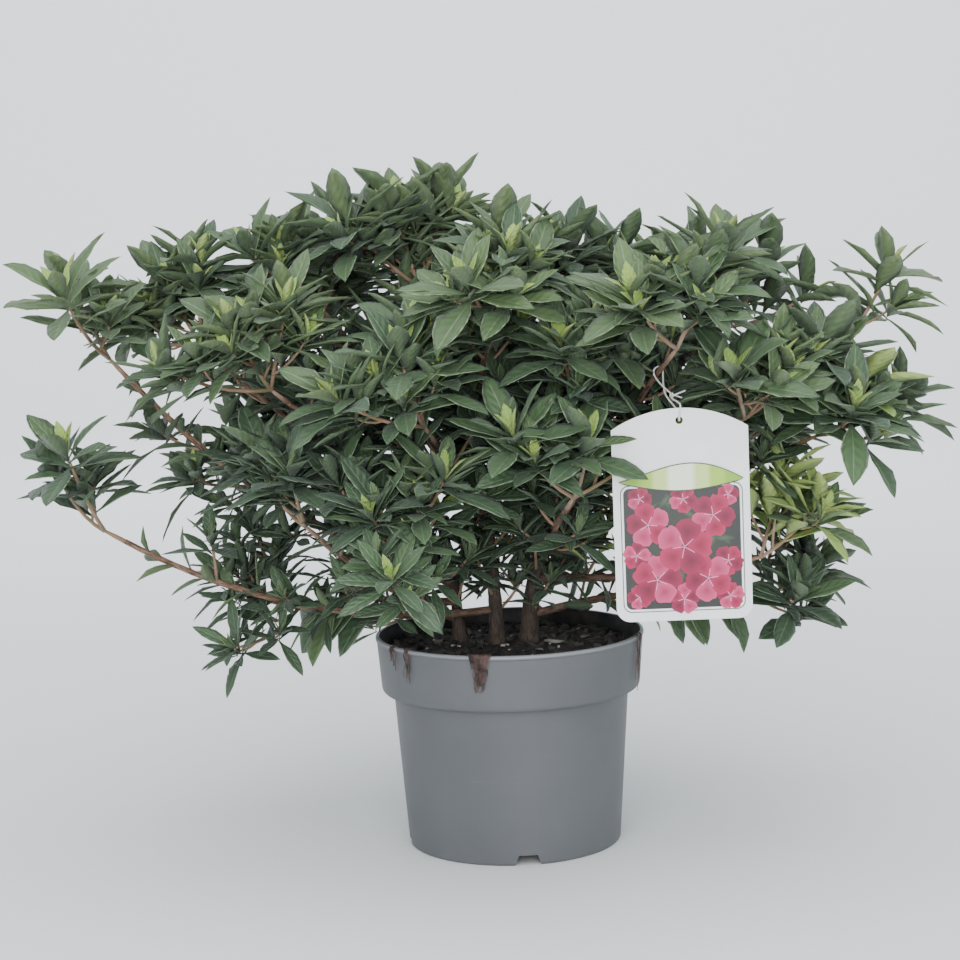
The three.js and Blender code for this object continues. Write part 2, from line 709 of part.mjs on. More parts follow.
function massBody(mass) {
  const random = seeded(1000 + mass.seed);
  const stalkStart = mass.at.clone().addScaledVector(mass.along, CLEAR);
  const stalkEnd = mass.at.clone().addScaledVector(mass.along, STALK + 1);
  const parts = [twigBody(stalkStart, stalkEnd, STALK_RADIUS, STALK_RADIUS)];
  mass.shoots.forEach((shoot) => {
    if (!shootFits(shoot, mass)) return;
    parts.push(twigBody(shoot.fork, shoot.end, SHOOT_RADIUS, BUD_RADIUS), ...whorl(mass, shoot, random));
  });
  return fuse(parts.map(toSolid));
}

masses.forEach((mass) => {
  const colour = mass.young ? COLOURS.youngLeaves : COLOURS.leaves;
  addPiece(`leaves_${mass.name}`, toGeometry(massBody(mass)), colour, 0.6);
});

export default shrub;
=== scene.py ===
# Azalea shrub in its grey nursery pot, with the printed picture card that hangs in it.
# The sections follow the plant as it is potted up: pot, soil, wood, twigs, leaves, card, string.
# Sizes are real millimetres and are turned into metres as each mesh is made.

import math

import bpy
import numpy as np
from mathutils import Matrix, Vector, kdtree, noise


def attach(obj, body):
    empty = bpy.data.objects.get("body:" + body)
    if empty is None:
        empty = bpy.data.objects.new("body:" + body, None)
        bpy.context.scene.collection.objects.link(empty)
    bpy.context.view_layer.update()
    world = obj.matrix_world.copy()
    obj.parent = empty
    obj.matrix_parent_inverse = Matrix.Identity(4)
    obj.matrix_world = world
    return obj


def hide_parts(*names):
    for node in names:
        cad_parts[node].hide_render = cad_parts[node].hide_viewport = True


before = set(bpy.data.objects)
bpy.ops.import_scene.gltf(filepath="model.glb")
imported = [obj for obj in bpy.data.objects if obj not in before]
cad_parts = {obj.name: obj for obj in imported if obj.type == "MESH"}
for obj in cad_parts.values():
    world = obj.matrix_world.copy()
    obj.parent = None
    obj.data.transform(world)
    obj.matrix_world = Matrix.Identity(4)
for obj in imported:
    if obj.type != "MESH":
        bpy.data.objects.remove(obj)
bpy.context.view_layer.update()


# The pot
#
# A three litre nursery container, injection moulded from grey polypropylene over a black inner
# skin. The deep collar stiffens the rim; openings in the foot ring let the water out.

MM = 0.001
POT_RIM = 95
POT_HEIGHT = 150
COLLAR_FOOT = 109.5
COLLAR_FOOT_RADIUS = 91.3
BODY_TOP_RADIUS = 83.2
FOOT_RADIUS = 75.5
FOOT_RING = 5
POT_WALL = 1.8
RIM_BEAD = 2.6
FLOOR_RISE = 8
PAD_RADIUS = 30
POT_STEPS = 160
NOTCH_BEARING = -83.5
NOTCH_SIZE = (14, 20, 13)
DRAIN_RING = 56
DRAIN_RADIUS = 5


def linear(code):
    """An sRGB colour such as 868b90 as linear red, green and blue with full alpha."""
    parts = [int(code[i:i + 2], 16) / 255 for i in (0, 2, 4)]
    return [p / 12.92 if p <= 0.04045 else ((p + 0.055) / 1.055) ** 2.4 for p in parts] + [1.0]


def add_node(material, kind, values=None, links=None, stops=None, **settings):
    """A node with its settings; values fill its sockets, links feed them, stops set a ramp."""
    tree = material.node_tree
    node = tree.nodes.new(kind)
    for name, value in settings.items():
        setattr(node, name, value)
    for name, value in (values or {}).items():
        node.inputs[name].default_value = value
    for name, source in (links or {}).items():
        tree.links.new(source, node.inputs[name])
    for place, code in stops or ():
        element = node.color_ramp.elements.new(place)
        element.color = linear(code)
    if stops:
        node.color_ramp.elements.remove(node.color_ramp.elements[0])
        node.color_ramp.elements.remove(node.color_ramp.elements[-1])
    return node


def new_material(name, **values):
    """A material with its shader's own sockets filled."""
    material = bpy.data.materials.new(name)
    material.use_nodes = True
    shader = material.node_tree.nodes["Principled BSDF"]
    for socket, value in values.items():
        shader.inputs[socket.replace("_", " ")].default_value = value
    return material, shader


def rounded(corners, steps=5):
    """Profile corners of radius, height and rounding, each rounding drawn as a short curve."""
    points = []
    for i, (across, high, rounding) in enumerate(corners):
        here = Vector((across, high))
        if rounding == 0:
            points.append(here)
            continue
        start = here + (Vector(corners[i - 1][:2]) - here).normalized() * rounding
        end = here + (Vector(corners[(i + 1) % len(corners)][:2]) - here).normalized() * rounding
        for k in range(steps + 1):
            t = k / steps
            points.append(start * (1 - t) ** 2 + here * (2 * t * (1 - t)) + end * t ** 2)
    return points


def only(obj):
    """Leaves one object selected and active."""
    bpy.ops.object.select_all(action="DESELECT")
    obj.select_set(True)
    bpy.context.view_layer.objects.active = obj


def new_object(name, mesh):
    obj = bpy.data.objects.new(name, mesh)
    bpy.context.collection.objects.link(obj)
    return obj


def weld(body):
    """Joins the points that meet and turns every face outwards."""
    only(body)
    bpy.ops.object.mode_set(mode="EDIT")
    bpy.ops.mesh.select_all(action="SELECT")
    bpy.ops.mesh.remove_doubles(threshold=0.00001)
    bpy.ops.mesh.normals_make_consistent(inside=False)
    bpy.ops.object.mode_set(mode="OBJECT")


def spun(name, profile, steps):
    """A profile of radius and height points turned round the upright axis into a closed body."""
    mesh = bpy.data.meshes.new(name)
    places = [(p[0] * MM, 0, p[1] * MM) for p in profile]
    mesh.from_pydata(places, [(i, i + 1) for i in range(len(places) - 1)], [])
    body = new_object(name, mesh)
    only(body)
    bpy.ops.object.mode_set(mode="EDIT")
    bpy.ops.mesh.select_all(action="SELECT")
    bpy.ops.mesh.spin(steps=steps, angle=2 * math.pi, center=(0, 0, 0), axis=(0, 0, 1))
    bpy.ops.object.mode_set(mode="OBJECT")
    weld(body)
    return body


pot = spun("nursery_pot", rounded([
    (0, 0, 0),
    (PAD_RADIUS, 0, 0.8),
    (PAD_RADIUS, FLOOR_RISE, 0.8),
    (FOOT_RADIUS - FOOT_RING, FLOOR_RISE, 0.8),
    (FOOT_RADIUS - FOOT_RING + 1, 0, 0.5),
    (FOOT_RADIUS - 0.2, 0, 2.0),
    (BODY_TOP_RADIUS, COLLAR_FOOT, 0.5),
    (COLLAR_FOOT_RADIUS, COLLAR_FOOT + 0.8, 3.4),
    (COLLAR_FOOT_RADIUS + 0.5, COLLAR_FOOT + 7, 1.5),
    (POT_RIM - 0.8, POT_HEIGHT - 3.6, 0.4),
    (POT_RIM, POT_HEIGHT - 2.8, 0.5),
    (POT_RIM, POT_HEIGHT, 1.7),
    (POT_RIM - RIM_BEAD, POT_HEIGHT, 0.6),
    (POT_RIM - RIM_BEAD, POT_HEIGHT - RIM_BEAD, 0.4),
    (COLLAR_FOOT_RADIUS - POT_WALL, COLLAR_FOOT + 7, 1.5),
    (BODY_TOP_RADIUS - POT_WALL, COLLAR_FOOT, 0.8),
    (FOOT_RADIUS - POT_WALL, FLOOR_RISE + POT_WALL, 1.5),
    (PAD_RADIUS + POT_WALL, FLOOR_RISE + POT_WALL, 0.5),
    (PAD_RADIUS - POT_WALL, POT_WALL, 0.5),
    (0, POT_WALL, 0),
]), POT_STEPS)

cutters = []
for quarter in range(4):
    bearing = Matrix.Rotation(math.radians(NOTCH_BEARING + 90 * quarter), 4, "Z")
    bpy.ops.object.select_all(action="DESELECT")
    bpy.ops.mesh.primitive_cube_add(size=1)
    notch = bpy.context.object
    depth, base, top = (side * MM for side in NOTCH_SIZE)
    for corner in notch.data.vertices:
        width = base if corner.co.z < 0 else top
        height = (FLOOR_RISE - 0.7) * MM if corner.co.z > 0 else -2 * MM
        across = (FOOT_RADIUS - 2) * MM + corner.co.x * depth
        corner.co = bearing @ Vector((across, corner.co.y * width, height))
    bpy.ops.mesh.primitive_cylinder_add(vertices=24, radius=DRAIN_RADIUS * MM, depth=6 * MM)
    drain = bpy.context.object
    for corner in drain.data.vertices:
        corner.co = bearing @ (corner.co + Vector((DRAIN_RING, 0, FLOOR_RISE + 1)) * MM)
    cutters += [notch, drain]
for cutter in cutters:
    only(pot)
    cut = pot.modifiers.new("opening", "BOOLEAN")
    cut.operation = "DIFFERENCE"
    cut.solver = "EXACT"
    cut.object = cutter
    bpy.ops.object.modifier_apply(modifier="opening")
    bpy.data.objects.remove(cutter)
only(pot)
bpy.ops.object.shade_smooth_by_angle(angle=math.radians(32))

# Polypropylene, moulded: a dull satin grey. The mould's fine spark texture breaks the shine, and
# handling leaves paler rubs that run round the wall
pot_grey, shader = new_material("moulded_polypropylene_grey", Roughness=0.5, IOR=1.49)
place = add_node(pot_grey, "ShaderNodeTexCoord").outputs["Object"]
patches = add_node(pot_grey, "ShaderNodeTexNoise", {"Scale": 14, "Detail": 3}, {"Vector": place})
rubs_at = add_node(pot_grey, "ShaderNodeMapping", {"Scale": (30, 30, 260)}, {"Vector": place})
rubs = add_node(
    pot_grey, "ShaderNodeTexNoise", {"Scale": 1.0, "Detail": 6, "Roughness": 0.7},
    {"Vector": rubs_at.outputs[0]})
rub_mask = add_node(
    pot_grey, "ShaderNodeMapRange", {"From Min": 0.66, "From Max": 0.80},
    {"Value": rubs.outputs[0]})
base = add_node(
    pot_grey, "ShaderNodeValToRGB", links={"Fac": patches.outputs[0]},
    stops=[(0.35, "535558"), (0.65, "595b5e")])
rubbed = add_node(
    pot_grey, "ShaderNodeMix", {7: linear("74777b")},
    {0: rub_mask.outputs[0], 6: base.outputs[0]}, data_type="RGBA")
# Crumbs of soil stuck to the wall, one or two millimetres across and a few centimetres apart
crumb_spots = add_node(pot_grey, "ShaderNodeTexVoronoi", {"Scale": 75}, {"Vector": place})
crumb_near = add_node(
    pot_grey, "ShaderNodeMapRange", {"From Min": 0.075, "From Max": 0.04},
    {"Value": crumb_spots.outputs["Distance"]})
crumb_chance = add_node(
    pot_grey, "ShaderNodeMath", {1: 0.80}, {0: crumb_spots.outputs["Color"]},
    operation="GREATER_THAN")
crumb_mask = add_node(
    pot_grey, "ShaderNodeMath", links={0: crumb_near.outputs[0], 1: crumb_chance.outputs[0]},
    operation="MULTIPLY")
crumbed = add_node(
    pot_grey, "ShaderNodeMix", {7: linear("3a332e")},
    {0: crumb_mask.outputs[0], 6: rubbed.outputs[2]}, data_type="RGBA")
# The rim's bead is painted paler along its top: a painted highlight from the light above
height = add_node(pot_grey, "ShaderNodeSeparateXYZ", links={"Vector": place})
rim_highlight_mask = add_node(
    pot_grey, "ShaderNodeMapRange",
    {"From Min": (POT_HEIGHT - RIM_BEAD) * MM, "From Max": (POT_HEIGHT - 1.4) * MM, "To Max": 0.8},
    {"Value": height.outputs["Z"]})
rim_highlighted = add_node(
    pot_grey, "ShaderNodeMix", {7: linear("8d9095")},
    {0: rim_highlight_mask.outputs[0], 6: crumbed.outputs[2]}, data_type="RGBA")
pot_grey.node_tree.links.new(rim_highlighted.outputs[2], shader.inputs["Base Color"])
grain = add_node(
    pot_grey, "ShaderNodeTexNoise", {"Scale": 1400, "Detail": 2}, {"Vector": place})
relief = add_node(
    pot_grey, "ShaderNodeBump", {"Strength": 0.25, "Distance": 0.0002},
    {"Height": grain.outputs[0]})
pot_grey.node_tree.links.new(relief.outputs[0], shader.inputs["Normal"])

# The black inner skin of the same moulding, dusty from the soil
pot_black, shader = new_material("moulded_polypropylene_black", Roughness=0.55, IOR=1.49)
place = add_node(pot_black, "ShaderNodeTexCoord").outputs["Object"]
dust = add_node(pot_black, "ShaderNodeTexNoise", {"Scale": 90, "Detail": 5}, {"Vector": place})
dusty = add_node(
    pot_black, "ShaderNodeValToRGB", links={"Fac": dust.outputs[0]},
    stops=[(0.45, "1a1a1b"), (0.7, "3a3431")])
pot_black.node_tree.links.new(dusty.outputs[0], shader.inputs["Base Color"])

pot.data.materials.append(pot_grey)
pot.data.materials.append(pot_black)
for face in pot.data.polygons:
    radial = Vector((face.center.x, face.center.y, 0)).normalized()
    inside = face.normal.dot(radial) < -0.3 or face.normal.z > 0.7
    if inside and FLOOR_RISE * MM < face.center.z < (POT_HEIGHT - 0.8) * MM:
        face.material_index = 1
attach(pot, "root")
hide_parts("pot")


# The soil
#
# Peat-like potting compost with composted bark and perlite, filled to a finger's width under the
# rim and settled by watering. A few root fibres have been caught over the rim by the potting.

SOIL_LEVEL = 140
SOIL_STEPS = 240
SOIL_RINGS = 78
CHIPS = 420
LONG_CHIPS = 26
SPECKS = 44
CHIP_REACH = 86
# The soil's side inside the pot's wall: radius and height, from under its top edge to its foot
SOIL_FOOT = 10.3
SOIL_SIDE = [(88.2, 118), (80.9, 109.8), (80.5, 104), (73.6, 13), (72, SOIL_FOOT)]
# Scraps of dry leaf, then perlite washed together at the stems' feet: place, half length, half
# width and paleness
PALE_BITS = [
    (31, -6, 7.0, 2.8, 0.84), (54, 14, 5.5, 1.6, 0.80), (20, -38, 6.0, 1.3, 0.78),
    (-58, -22, 5.0, 1.5, 0.80), (-40, -8, 1.6, 1.2, 1.00), (-36, -10, 1.3, 1.0, 0.96),
    (-32, -7, 1.2, 0.9, 1.00), (-5, -15, 1.7, 1.3, 1.00), (-2, -13, 1.3, 1.0, 0.95),
]
# Tufts of root fibre: bearing and spread in degrees, drop in millimetres, number of fibres, and how
# far they draw together
TUFTS = [
    (212.5, 1.6, 17, 6, 0.3), (222, 1.6, 27, 8, 0.3), (257.5, 9, 26, 54, 1.0),
    (257, 6, 11, 16, 0.2), (341, 4, 52, 3, 0.4), (339, 3, 34, 4, 0.4),
]


def seeded(seed):
    """A repeatable run of numbers between 0 and 1."""
    state = seed * 7919 + 17

    def draw():
        nonlocal state
        state = state * 16807 % 2147483647
        return state / 2147483647

    return draw


def noise_at(x, y, z, grain):
    """Smooth noise from -1 to 1 whose lumps are one grain wide."""
    return noise.noise(Vector((x / grain, y / grain, z / grain)))


def mesh_piece(name, places, quads, triangles, material, tones=None, corners=None, grain=None):
    """A piece from arrays in millimetres, with tones and grain per point, corners per corner."""
    mesh = bpy.data.meshes.new(name)
    places = np.asarray(places, dtype=np.float32) * MM
    quads = np.asarray(quads, dtype=np.int32).reshape(-1, 4)
    triangles = np.asarray(triangles, dtype=np.int32).reshape(-1, 3)
    mesh.vertices.add(len(places))
    mesh.vertices.foreach_set("co", places.ravel())
    mesh.loops.add(quads.size + triangles.size)
    mesh.loops.foreach_set("vertex_index", np.concatenate([quads.ravel(), triangles.ravel()]))
    mesh.polygons.add(len(quads) + len(triangles))
    starts = np.concatenate([
        np.arange(len(quads)) * 4,
        quads.size + np.arange(len(triangles)) * 3]).astype(np.int32)
    mesh.polygons.foreach_set("loop_start", starts)
    if corners is not None:
        layer = mesh.uv_layers.new(name="blade")
        layer.uv.foreach_set("vector", np.asarray(corners, dtype=np.float32).ravel())
    if tones is not None:
        layer = mesh.attributes.new("tone", "FLOAT", "POINT")
        layer.data.foreach_set("value", np.asarray(tones, dtype=np.float32))
    if grain is not None:
        layer = mesh.attributes.new("grain", "FLOAT_VECTOR", "POINT")
        layer.data.foreach_set("vector", np.asarray(grain, dtype=np.float32).ravel())
    mesh.update(calc_edges=True)
    mesh.validate()
    mesh.shade_smooth()
    mesh.materials.append(material)
    piece = new_object(name, mesh)
    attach(piece, "root")
    return piece


def soil_height(x, y):
    """The lumpy top of the soil, heaped round the stems and sunk at the pot's wall."""
    out = math.hypot(x, y) / 90
    lumps = 1.6 * noise_at(x, y, 3, 14) + 1.1 * noise_at(x, y, 9, 5) + 0.6 * noise_at(x, y, 5, 2.2)
    return SOIL_LEVEL + lumps + 1.5 * (1 - out) - 2.5 * out ** 6


rows = []
# The soil fills the collar, which widens by a tenth of its rise
top_radius = COLLAR_FOOT_RADIUS - 2.6 + (SOIL_LEVEL - COLLAR_FOOT - 7) * 0.1 - 0.2
for ring in range(1, SOIL_RINGS + 1):
    radius = top_radius * ring / SOIL_RINGS
    row = []
    for step in range(SOIL_STEPS):
        angle = 2 * math.pi * step / SOIL_STEPS
        x, y = radius * math.cos(angle), radius * math.sin(angle)
        row.append((x, y, soil_height(x, y)))
    rows.append(row)
for radius, height in [(top_radius - 0.5, 130), *SOIL_SIDE]:
    rows.append([
        (radius * math.cos(2 * math.pi * step / SOIL_STEPS),
         radius * math.sin(2 * math.pi * step / SOIL_STEPS), height)
        for step in range(SOIL_STEPS)])
grid = np.array(rows).reshape(-1, 3)
ids = np.arange(len(rows) * SOIL_STEPS).reshape(len(rows), SOIL_STEPS)
beside = np.roll(ids, -1, axis=1)
quads = np.stack([ids[:-1], ids[1:], beside[1:], beside[:-1]], axis=-1).reshape(-1, 4)
centre_top, centre_foot = len(grid), len(grid) + 1
grid = np.vstack([grid, [(0, 0, soil_height(0, 0))], [(0, 0, SOIL_FOOT)]])
fans = [(centre_top, ids[0][s], beside[0][s]) for s in range(SOIL_STEPS)]
fans += [(centre_foot, beside[-1][s], ids[-1][s]) for s in range(SOIL_STEPS)]

# Damp compost: nearly black brown and matt, with crumbs a millimetre or two across
soil_damp, shader = new_material("damp_potting_compost", Roughness=0.95)
place = add_node(soil_damp, "ShaderNodeTexCoord").outputs["Object"]
crumbs = add_node(
    soil_damp, "ShaderNodeTexNoise", {"Scale": 520, "Detail": 6, "Roughness": 0.7},
    {"Vector": place})
crumb_colour = add_node(
    soil_damp, "ShaderNodeValToRGB", links={"Fac": crumbs.outputs[0]},
    stops=[(0.3, "1d1b1a"), (0.52, "292625"), (0.72, "393532")])
soil_damp.node_tree.links.new(crumb_colour.outputs[0], shader.inputs["Base Color"])
crumb_relief = add_node(
    soil_damp, "ShaderNodeBump", {"Strength": 0.9, "Distance": 0.0012},
    {"Height": crumbs.outputs[0]})
soil_damp.node_tree.links.new(crumb_relief.outputs[0], shader.inputs["Normal"])
soil = mesh_piece("potting_soil", grid, quads, fans, soil_damp)
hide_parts("soil")

# Bark chips and perlite grains that lie on the soil: small crushed lumps of eight corners
LUMP = np.array([(x, y, z) for x in (-1, 1) for y in (-1, 1) for z in (-1, 1)], dtype=float)
LUMP_FACES = np.array([
    (0, 1, 3, 2), (4, 6, 7, 5), (0, 4, 5, 1), (2, 3, 7, 6), (0, 2, 6, 4), (1, 5, 7, 3)])
chip_places, chip_faces, chip_tones = [], [], []


def add_chip(x, y, half, turn, slope, lift, draw):
    """Lays a lump of these half sizes on the soil, with its corners knocked about."""
    turned = Matrix.Rotation(turn, 3, "Z") @ Matrix.Rotation(slope, 3, "Y")
    knocked = 0.75 + 0.5 * np.array([[draw() for _ in range(3)] for _ in range(8)])
    chip_faces.append(LUMP_FACES + 8 * len(chip_places))
    chip_places.append(
        LUMP * half * knocked @ np.array(turned.transposed()) + (x, y, soil_height(x, y) + lift))


draw = seeded(301)
for i in range(CHIPS + LONG_CHIPS + SPECKS):
    is_long = CHIPS <= i < CHIPS + LONG_CHIPS
    is_speck = i >= CHIPS + LONG_CHIPS
    radius = CHIP_REACH * math.sqrt(draw())
    angle = 2 * math.pi * draw()
    if is_speck:
        half = np.array([1, 0.8, 0.8]) * (0.5 + 0.7 * draw())
    elif is_long:
        half = np.array([1, 0.24, 0.10]) * (5.5 + 4.0 * draw())
    else:
        half = np.array([1, 0.45, 0.3]) * (2.0 + 3.6 * draw() ** 2)
    add_chip(radius * math.cos(angle), radius * math.sin(angle), half,
             2 * math.pi * draw(), 1.1 * (draw() - 0.5), 0.3 * half[2], draw)
    tone = 0.9 + 0.1 * draw() if is_speck else 0.55 * draw() + 0.25 * is_long
    chip_tones.append(np.full(8, tone))
draw = seeded(303)
for x, y, half_long, half_wide, tone in PALE_BITS:
    half = np.array([half_long, half_wide, 0.35 + 0.2 * half_wide])
    add_chip(x, y, half, math.pi * draw(), 0.5 * (draw() - 0.5), 1.4, draw)
    chip_tones.append(np.full(8, tone))

# Composted pine bark is grey brown and matt; perlite is expanded glass, dull white and chalky
chips_mixed, shader = new_material("composted_bark_and_perlite", Roughness=0.9)
tone = add_node(chips_mixed, "ShaderNodeAttribute", attribute_name="tone").outputs["Fac"]
chip_colour = add_node(
    chips_mixed, "ShaderNodeValToRGB", links={"Fac": tone},
    stops=[(0.02, "211e1d"), (0.3, "2d2927"), (0.6, "47423d"), (0.8, "6a6660"), (0.9, "a3a19c")])
chips_mixed.node_tree.links.new(chip_colour.outputs[0], shader.inputs["Base Color"])
place = add_node(chips_mixed, "ShaderNodeTexCoord").outputs["Object"]
fibrous = add_node(
    chips_mixed, "ShaderNodeTexNoise", {"Scale": 900, "Detail": 3}, {"Vector": place})
chip_relief = add_node(
    chips_mixed, "ShaderNodeBump", {"Strength": 0.6, "Distance": 0.0006},
    {"Height": fibrous.outputs[0]})
chips_mixed.node_tree.links.new(chip_relief.outputs[0], shader.inputs["Normal"])
chips = mesh_piece(
    "soil_chips", np.vstack(chip_places), np.vstack(chip_faces), [], chips_mixed,
    np.concatenate(chip_tones))


def tube(points, radii, sides):
    """A closed skin round a line of points: a ring at each, and both ends drawn to a point."""
    points = np.asarray(points, dtype=float)
    along = np.gradient(points, axis=0)
    along /= np.linalg.norm(along, axis=1, keepdims=True)
    side = np.cross(along[0], (0, 0, 1) if abs(along[0][2]) < 0.9 else (1, 0, 0))
    radii = np.asarray(radii, dtype=float)
    if radii.ndim == 1:
        radii = np.repeat(radii[:, None], sides, axis=1)
    angles = 2 * np.pi * np.arange(sides) / sides
    rings = []
    for here, ahead, radius in zip(points, along, radii):
        side = side - ahead * side.dot(ahead)
        side /= np.linalg.norm(side)
        over = np.cross(ahead, side)
        spokes = np.cos(angles)[:, None] * side + np.sin(angles)[:, None] * over
        rings.append(here + radius[:, None] * spokes)
    places = np.vstack(rings + [points[:1], points[-1:]])
    ids = np.arange(len(points) * sides).reshape(len(points), sides)
    beside = np.roll(ids, -1, axis=1)
    quads = np.stack([ids[:-1], beside[:-1], beside[1:], ids[1:]], axis=-1).reshape(-1, 4)
    first, last = len(points) * sides, len(points) * sides + 1
    ends = [(first, b, a) for a, b in zip(ids[0], beside[0])]
    ends += [(last, a, b) for a, b in zip(ids[-1], beside[-1])]
    return places, quads, np.array(ends)


def joined(parts):
    """Several skins as one: their points, four-sided faces and triangles."""
    places, quads, triangles, start = [], [], [], 0
    for part_places, part_quads, part_triangles in parts:
        places.append(part_places)
        quads.append(part_quads + start)
        triangles.append(part_triangles + start)
        start += len(part_places)
    return np.vstack(places), np.vstack(quads), np.vstack(triangles)


# Root fibres over the rim: each tuft is a pinch of threads that start in the soil, climb over the
# rim's bead and lie against the collar
ON_RIM = 0.30
OVER_RIM = 0.42
draw = seeded(302)
fibres = []
for bearing, spread, drop, count, gather in TUFTS:
    for _ in range(count):
        middle = math.radians(bearing)
        aside = math.radians(spread * (draw() - 0.5))
        wander = (draw() - 0.5) * 0.07
        drawn_in = gather * (0.6 + 0.6 * draw())
        stand_off = 0.2 + 1.5 * draw() ** 2
        curl = draw() * 6
        fall = drop * (0.35 + 0.65 * draw())
        path = []
        for step in range(15):
            t = step / 14
            if t < ON_RIM:
                radius, height = 86 + 22 * t, SOIL_LEVEL + 1 + 33 * t
            elif t < OVER_RIM:
                share = (t - ON_RIM) / (OVER_RIM - ON_RIM)
                radius = 92.6 + 3.2 * share
                height = POT_HEIGHT + 0.9 + 0.5 * math.sin(math.pi * share) - 0.7 * share
            else:
                share = (t - OVER_RIM) / (1 - OVER_RIM)
                radius = POT_RIM + 0.7 + stand_off * share ** 0.5 - 0.09 * fall * share
                radius += 0.3 * draw()
                height = POT_HEIGHT + 0.2 - fall * share
            gathered = 1 - drawn_in * (max(0.0, t - 0.4) / 0.6) ** 0.55
            angle = middle + aside * gathered + wander * t + 0.014 * math.sin(curl + 11 * t)
            path.append((radius * math.cos(angle), radius * math.sin(angle), height))
        fibres.append(tube(path, np.linspace(0.55, 0.2, 15), 4))

# Dry root fibre: matt red brown threads, paler where they have dried out
fibre_dry, shader = new_material("dried_root_fibre", Roughness=0.9)
place = add_node(fibre_dry, "ShaderNodeTexCoord").outputs["Object"]
dryness = add_node(fibre_dry, "ShaderNodeTexNoise", {"Scale": 160, "Detail": 3}, {"Vector": place})
fibre_colour = add_node(
    fibre_dry, "ShaderNodeValToRGB", links={"Fac": dryness.outputs[0]},
    stops=[(0.35, "2f2421"), (0.65, "66504a")])
fibre_dry.node_tree.links.new(fibre_colour.outputs[0], shader.inputs["Base Color"])
fibre_piece = mesh_piece("root_fibres", *joined(fibres), fibre_dry)


# The wood
#
# Three woody stems rise from the soil, flare at their foot and fork into boughs that lean out to
# the light. The bark is thin, brown and grey, ridged along the limb and ringed by old leaf scars.

CLEAR = 0.3
# Name, foot, tip, the tip's height, how high it runs upright, and the radius over its flare
STEMS = [
    ("stem_left", (-36, 9), (-116, 30), 366, 262, 4.0),
    ("stem_middle", (-9, -3), (-50, 4), 380, 282, 5.0),
    ("stem_right", (14, 3), (146, 18), 350, 258, 6.0),
]
# Name, stem, height of the fork, bearing, reach and height of the tip, sag, and what sets its
# shoots apart
BOUGHS = [
    ("left_high", 0, 197, 183, 262, 340, 28, {"turn": 15}),
    ("left_top", 0, 246, 171, 205, 346, 12, {}),
    ("front_left_high", 0, 262, 206, 160, 322, 8, {}),
    ("front_left", 0, 182, 236, 132, 222, 2, {"shoots": 4}),
    ("front_left_low", 0, 170, 208, 142, 228, 12, {"turn": 0}),
    ("left_foot", 0, 157, 176, 134, 172, -8, {"turn": 240}),
    ("back_left_high", 0, 278, 142, 162, 340, 6, {}),
    ("back_left", 0, 214, 146, 190, 244, 6, {}),
    ("left_low", 1, 166, 187, 266, 226, 22, {"shoots": 2, "turn": 150}),
    ("front_high", 1, 292, 265, 84, 358, 4, {"turn": 300}),
    ("front_middle", 1, 236, 247, 118, 298, 8, {"shoots": 4}),
    ("front_right_high", 1, 272, 298, 78, 308, 6, {}),
    ("back_high", 1, 312, 108, 118, 358, 4, {}),
    ("back_middle", 1, 254, 88, 150, 292, 8, {}),
    ("crest_right", 2, 222, 20, 42, 350, -4, {}),
    ("right_high", 2, 268, 358, 227, 340, 14, {"turn": 10}),
    ("right_middle", 2, 234, 350, 204, 280, 8, {"shoots": 4}),
    ("right_front", 2, 186, 343, 165, 202, 4, {"young": True}),
    ("right_foot", 2, 160, 6, 162, 168, -8, {}),
    ("card_bough", 2, 284, 312, 160, 346, 6, {}),
    ("right_shoulder", 2, 252, 335, 166, 296, 6, {}),
    ("front_right", 2, 204, 291, 112, 250, 6, {}),
    ("back_right_high", 2, 300, 44, 146, 346, 4, {}),
    ("back_right", 2, 244, 30, 190, 262, 6, {}),
    ("back_low", 2, 196, 76, 138, 202, 2, {}),
]
STEM_TIP_RADIUS = 2.2
FLARE = 2.2
FLARE_LENGTH = 9
BOUGH_RADII = (3.0, 1.8)
SWAY = 3
UP = np.array([0.0, 0.0, 1.0])


def unit(vector):
    vector = np.asarray(vector, dtype=float)
    return vector / np.linalg.norm(vector)


def stem_line(foot, bend, tip):
    """A stem's line: upright at its foot, then leaning over to its tip."""
    def at(t):
        t = np.asarray(t, dtype=float)[..., None]
        return foot * (1 - t) ** 2 + bend * 2 * t * (1 - t) + tip * t ** 2
    return at


def bough_line(start, tip, sag, sway):
    """A bough's line: out from its stem and up to its tip, sagging and swaying on the way."""
    side = unit(np.cross(tip - start, UP))

    def at(t):
        t = np.asarray(t, dtype=float)[..., None]
        line = start + (tip - start) * t - UP * 4 * sag * t * (1 - t)
        return line + side * sway * np.sin(2 * np.pi * t)
    return at


def evenly(line, count):
    """Points spaced evenly along a line, and the line's length."""
    fine = line(np.linspace(0, 1, 401))
    run = np.concatenate([[0], np.cumsum(np.linalg.norm(np.diff(fine, axis=0), axis=1))])
    wanted = np.linspace(0, run[-1], count + 1)
    return np.stack([np.interp(wanted, run, fine[:, k]) for k in range(3)], axis=1), run[-1]


def end_direction(line):
    return unit(line(np.array(1.0)) - line(np.array(0.9999)))


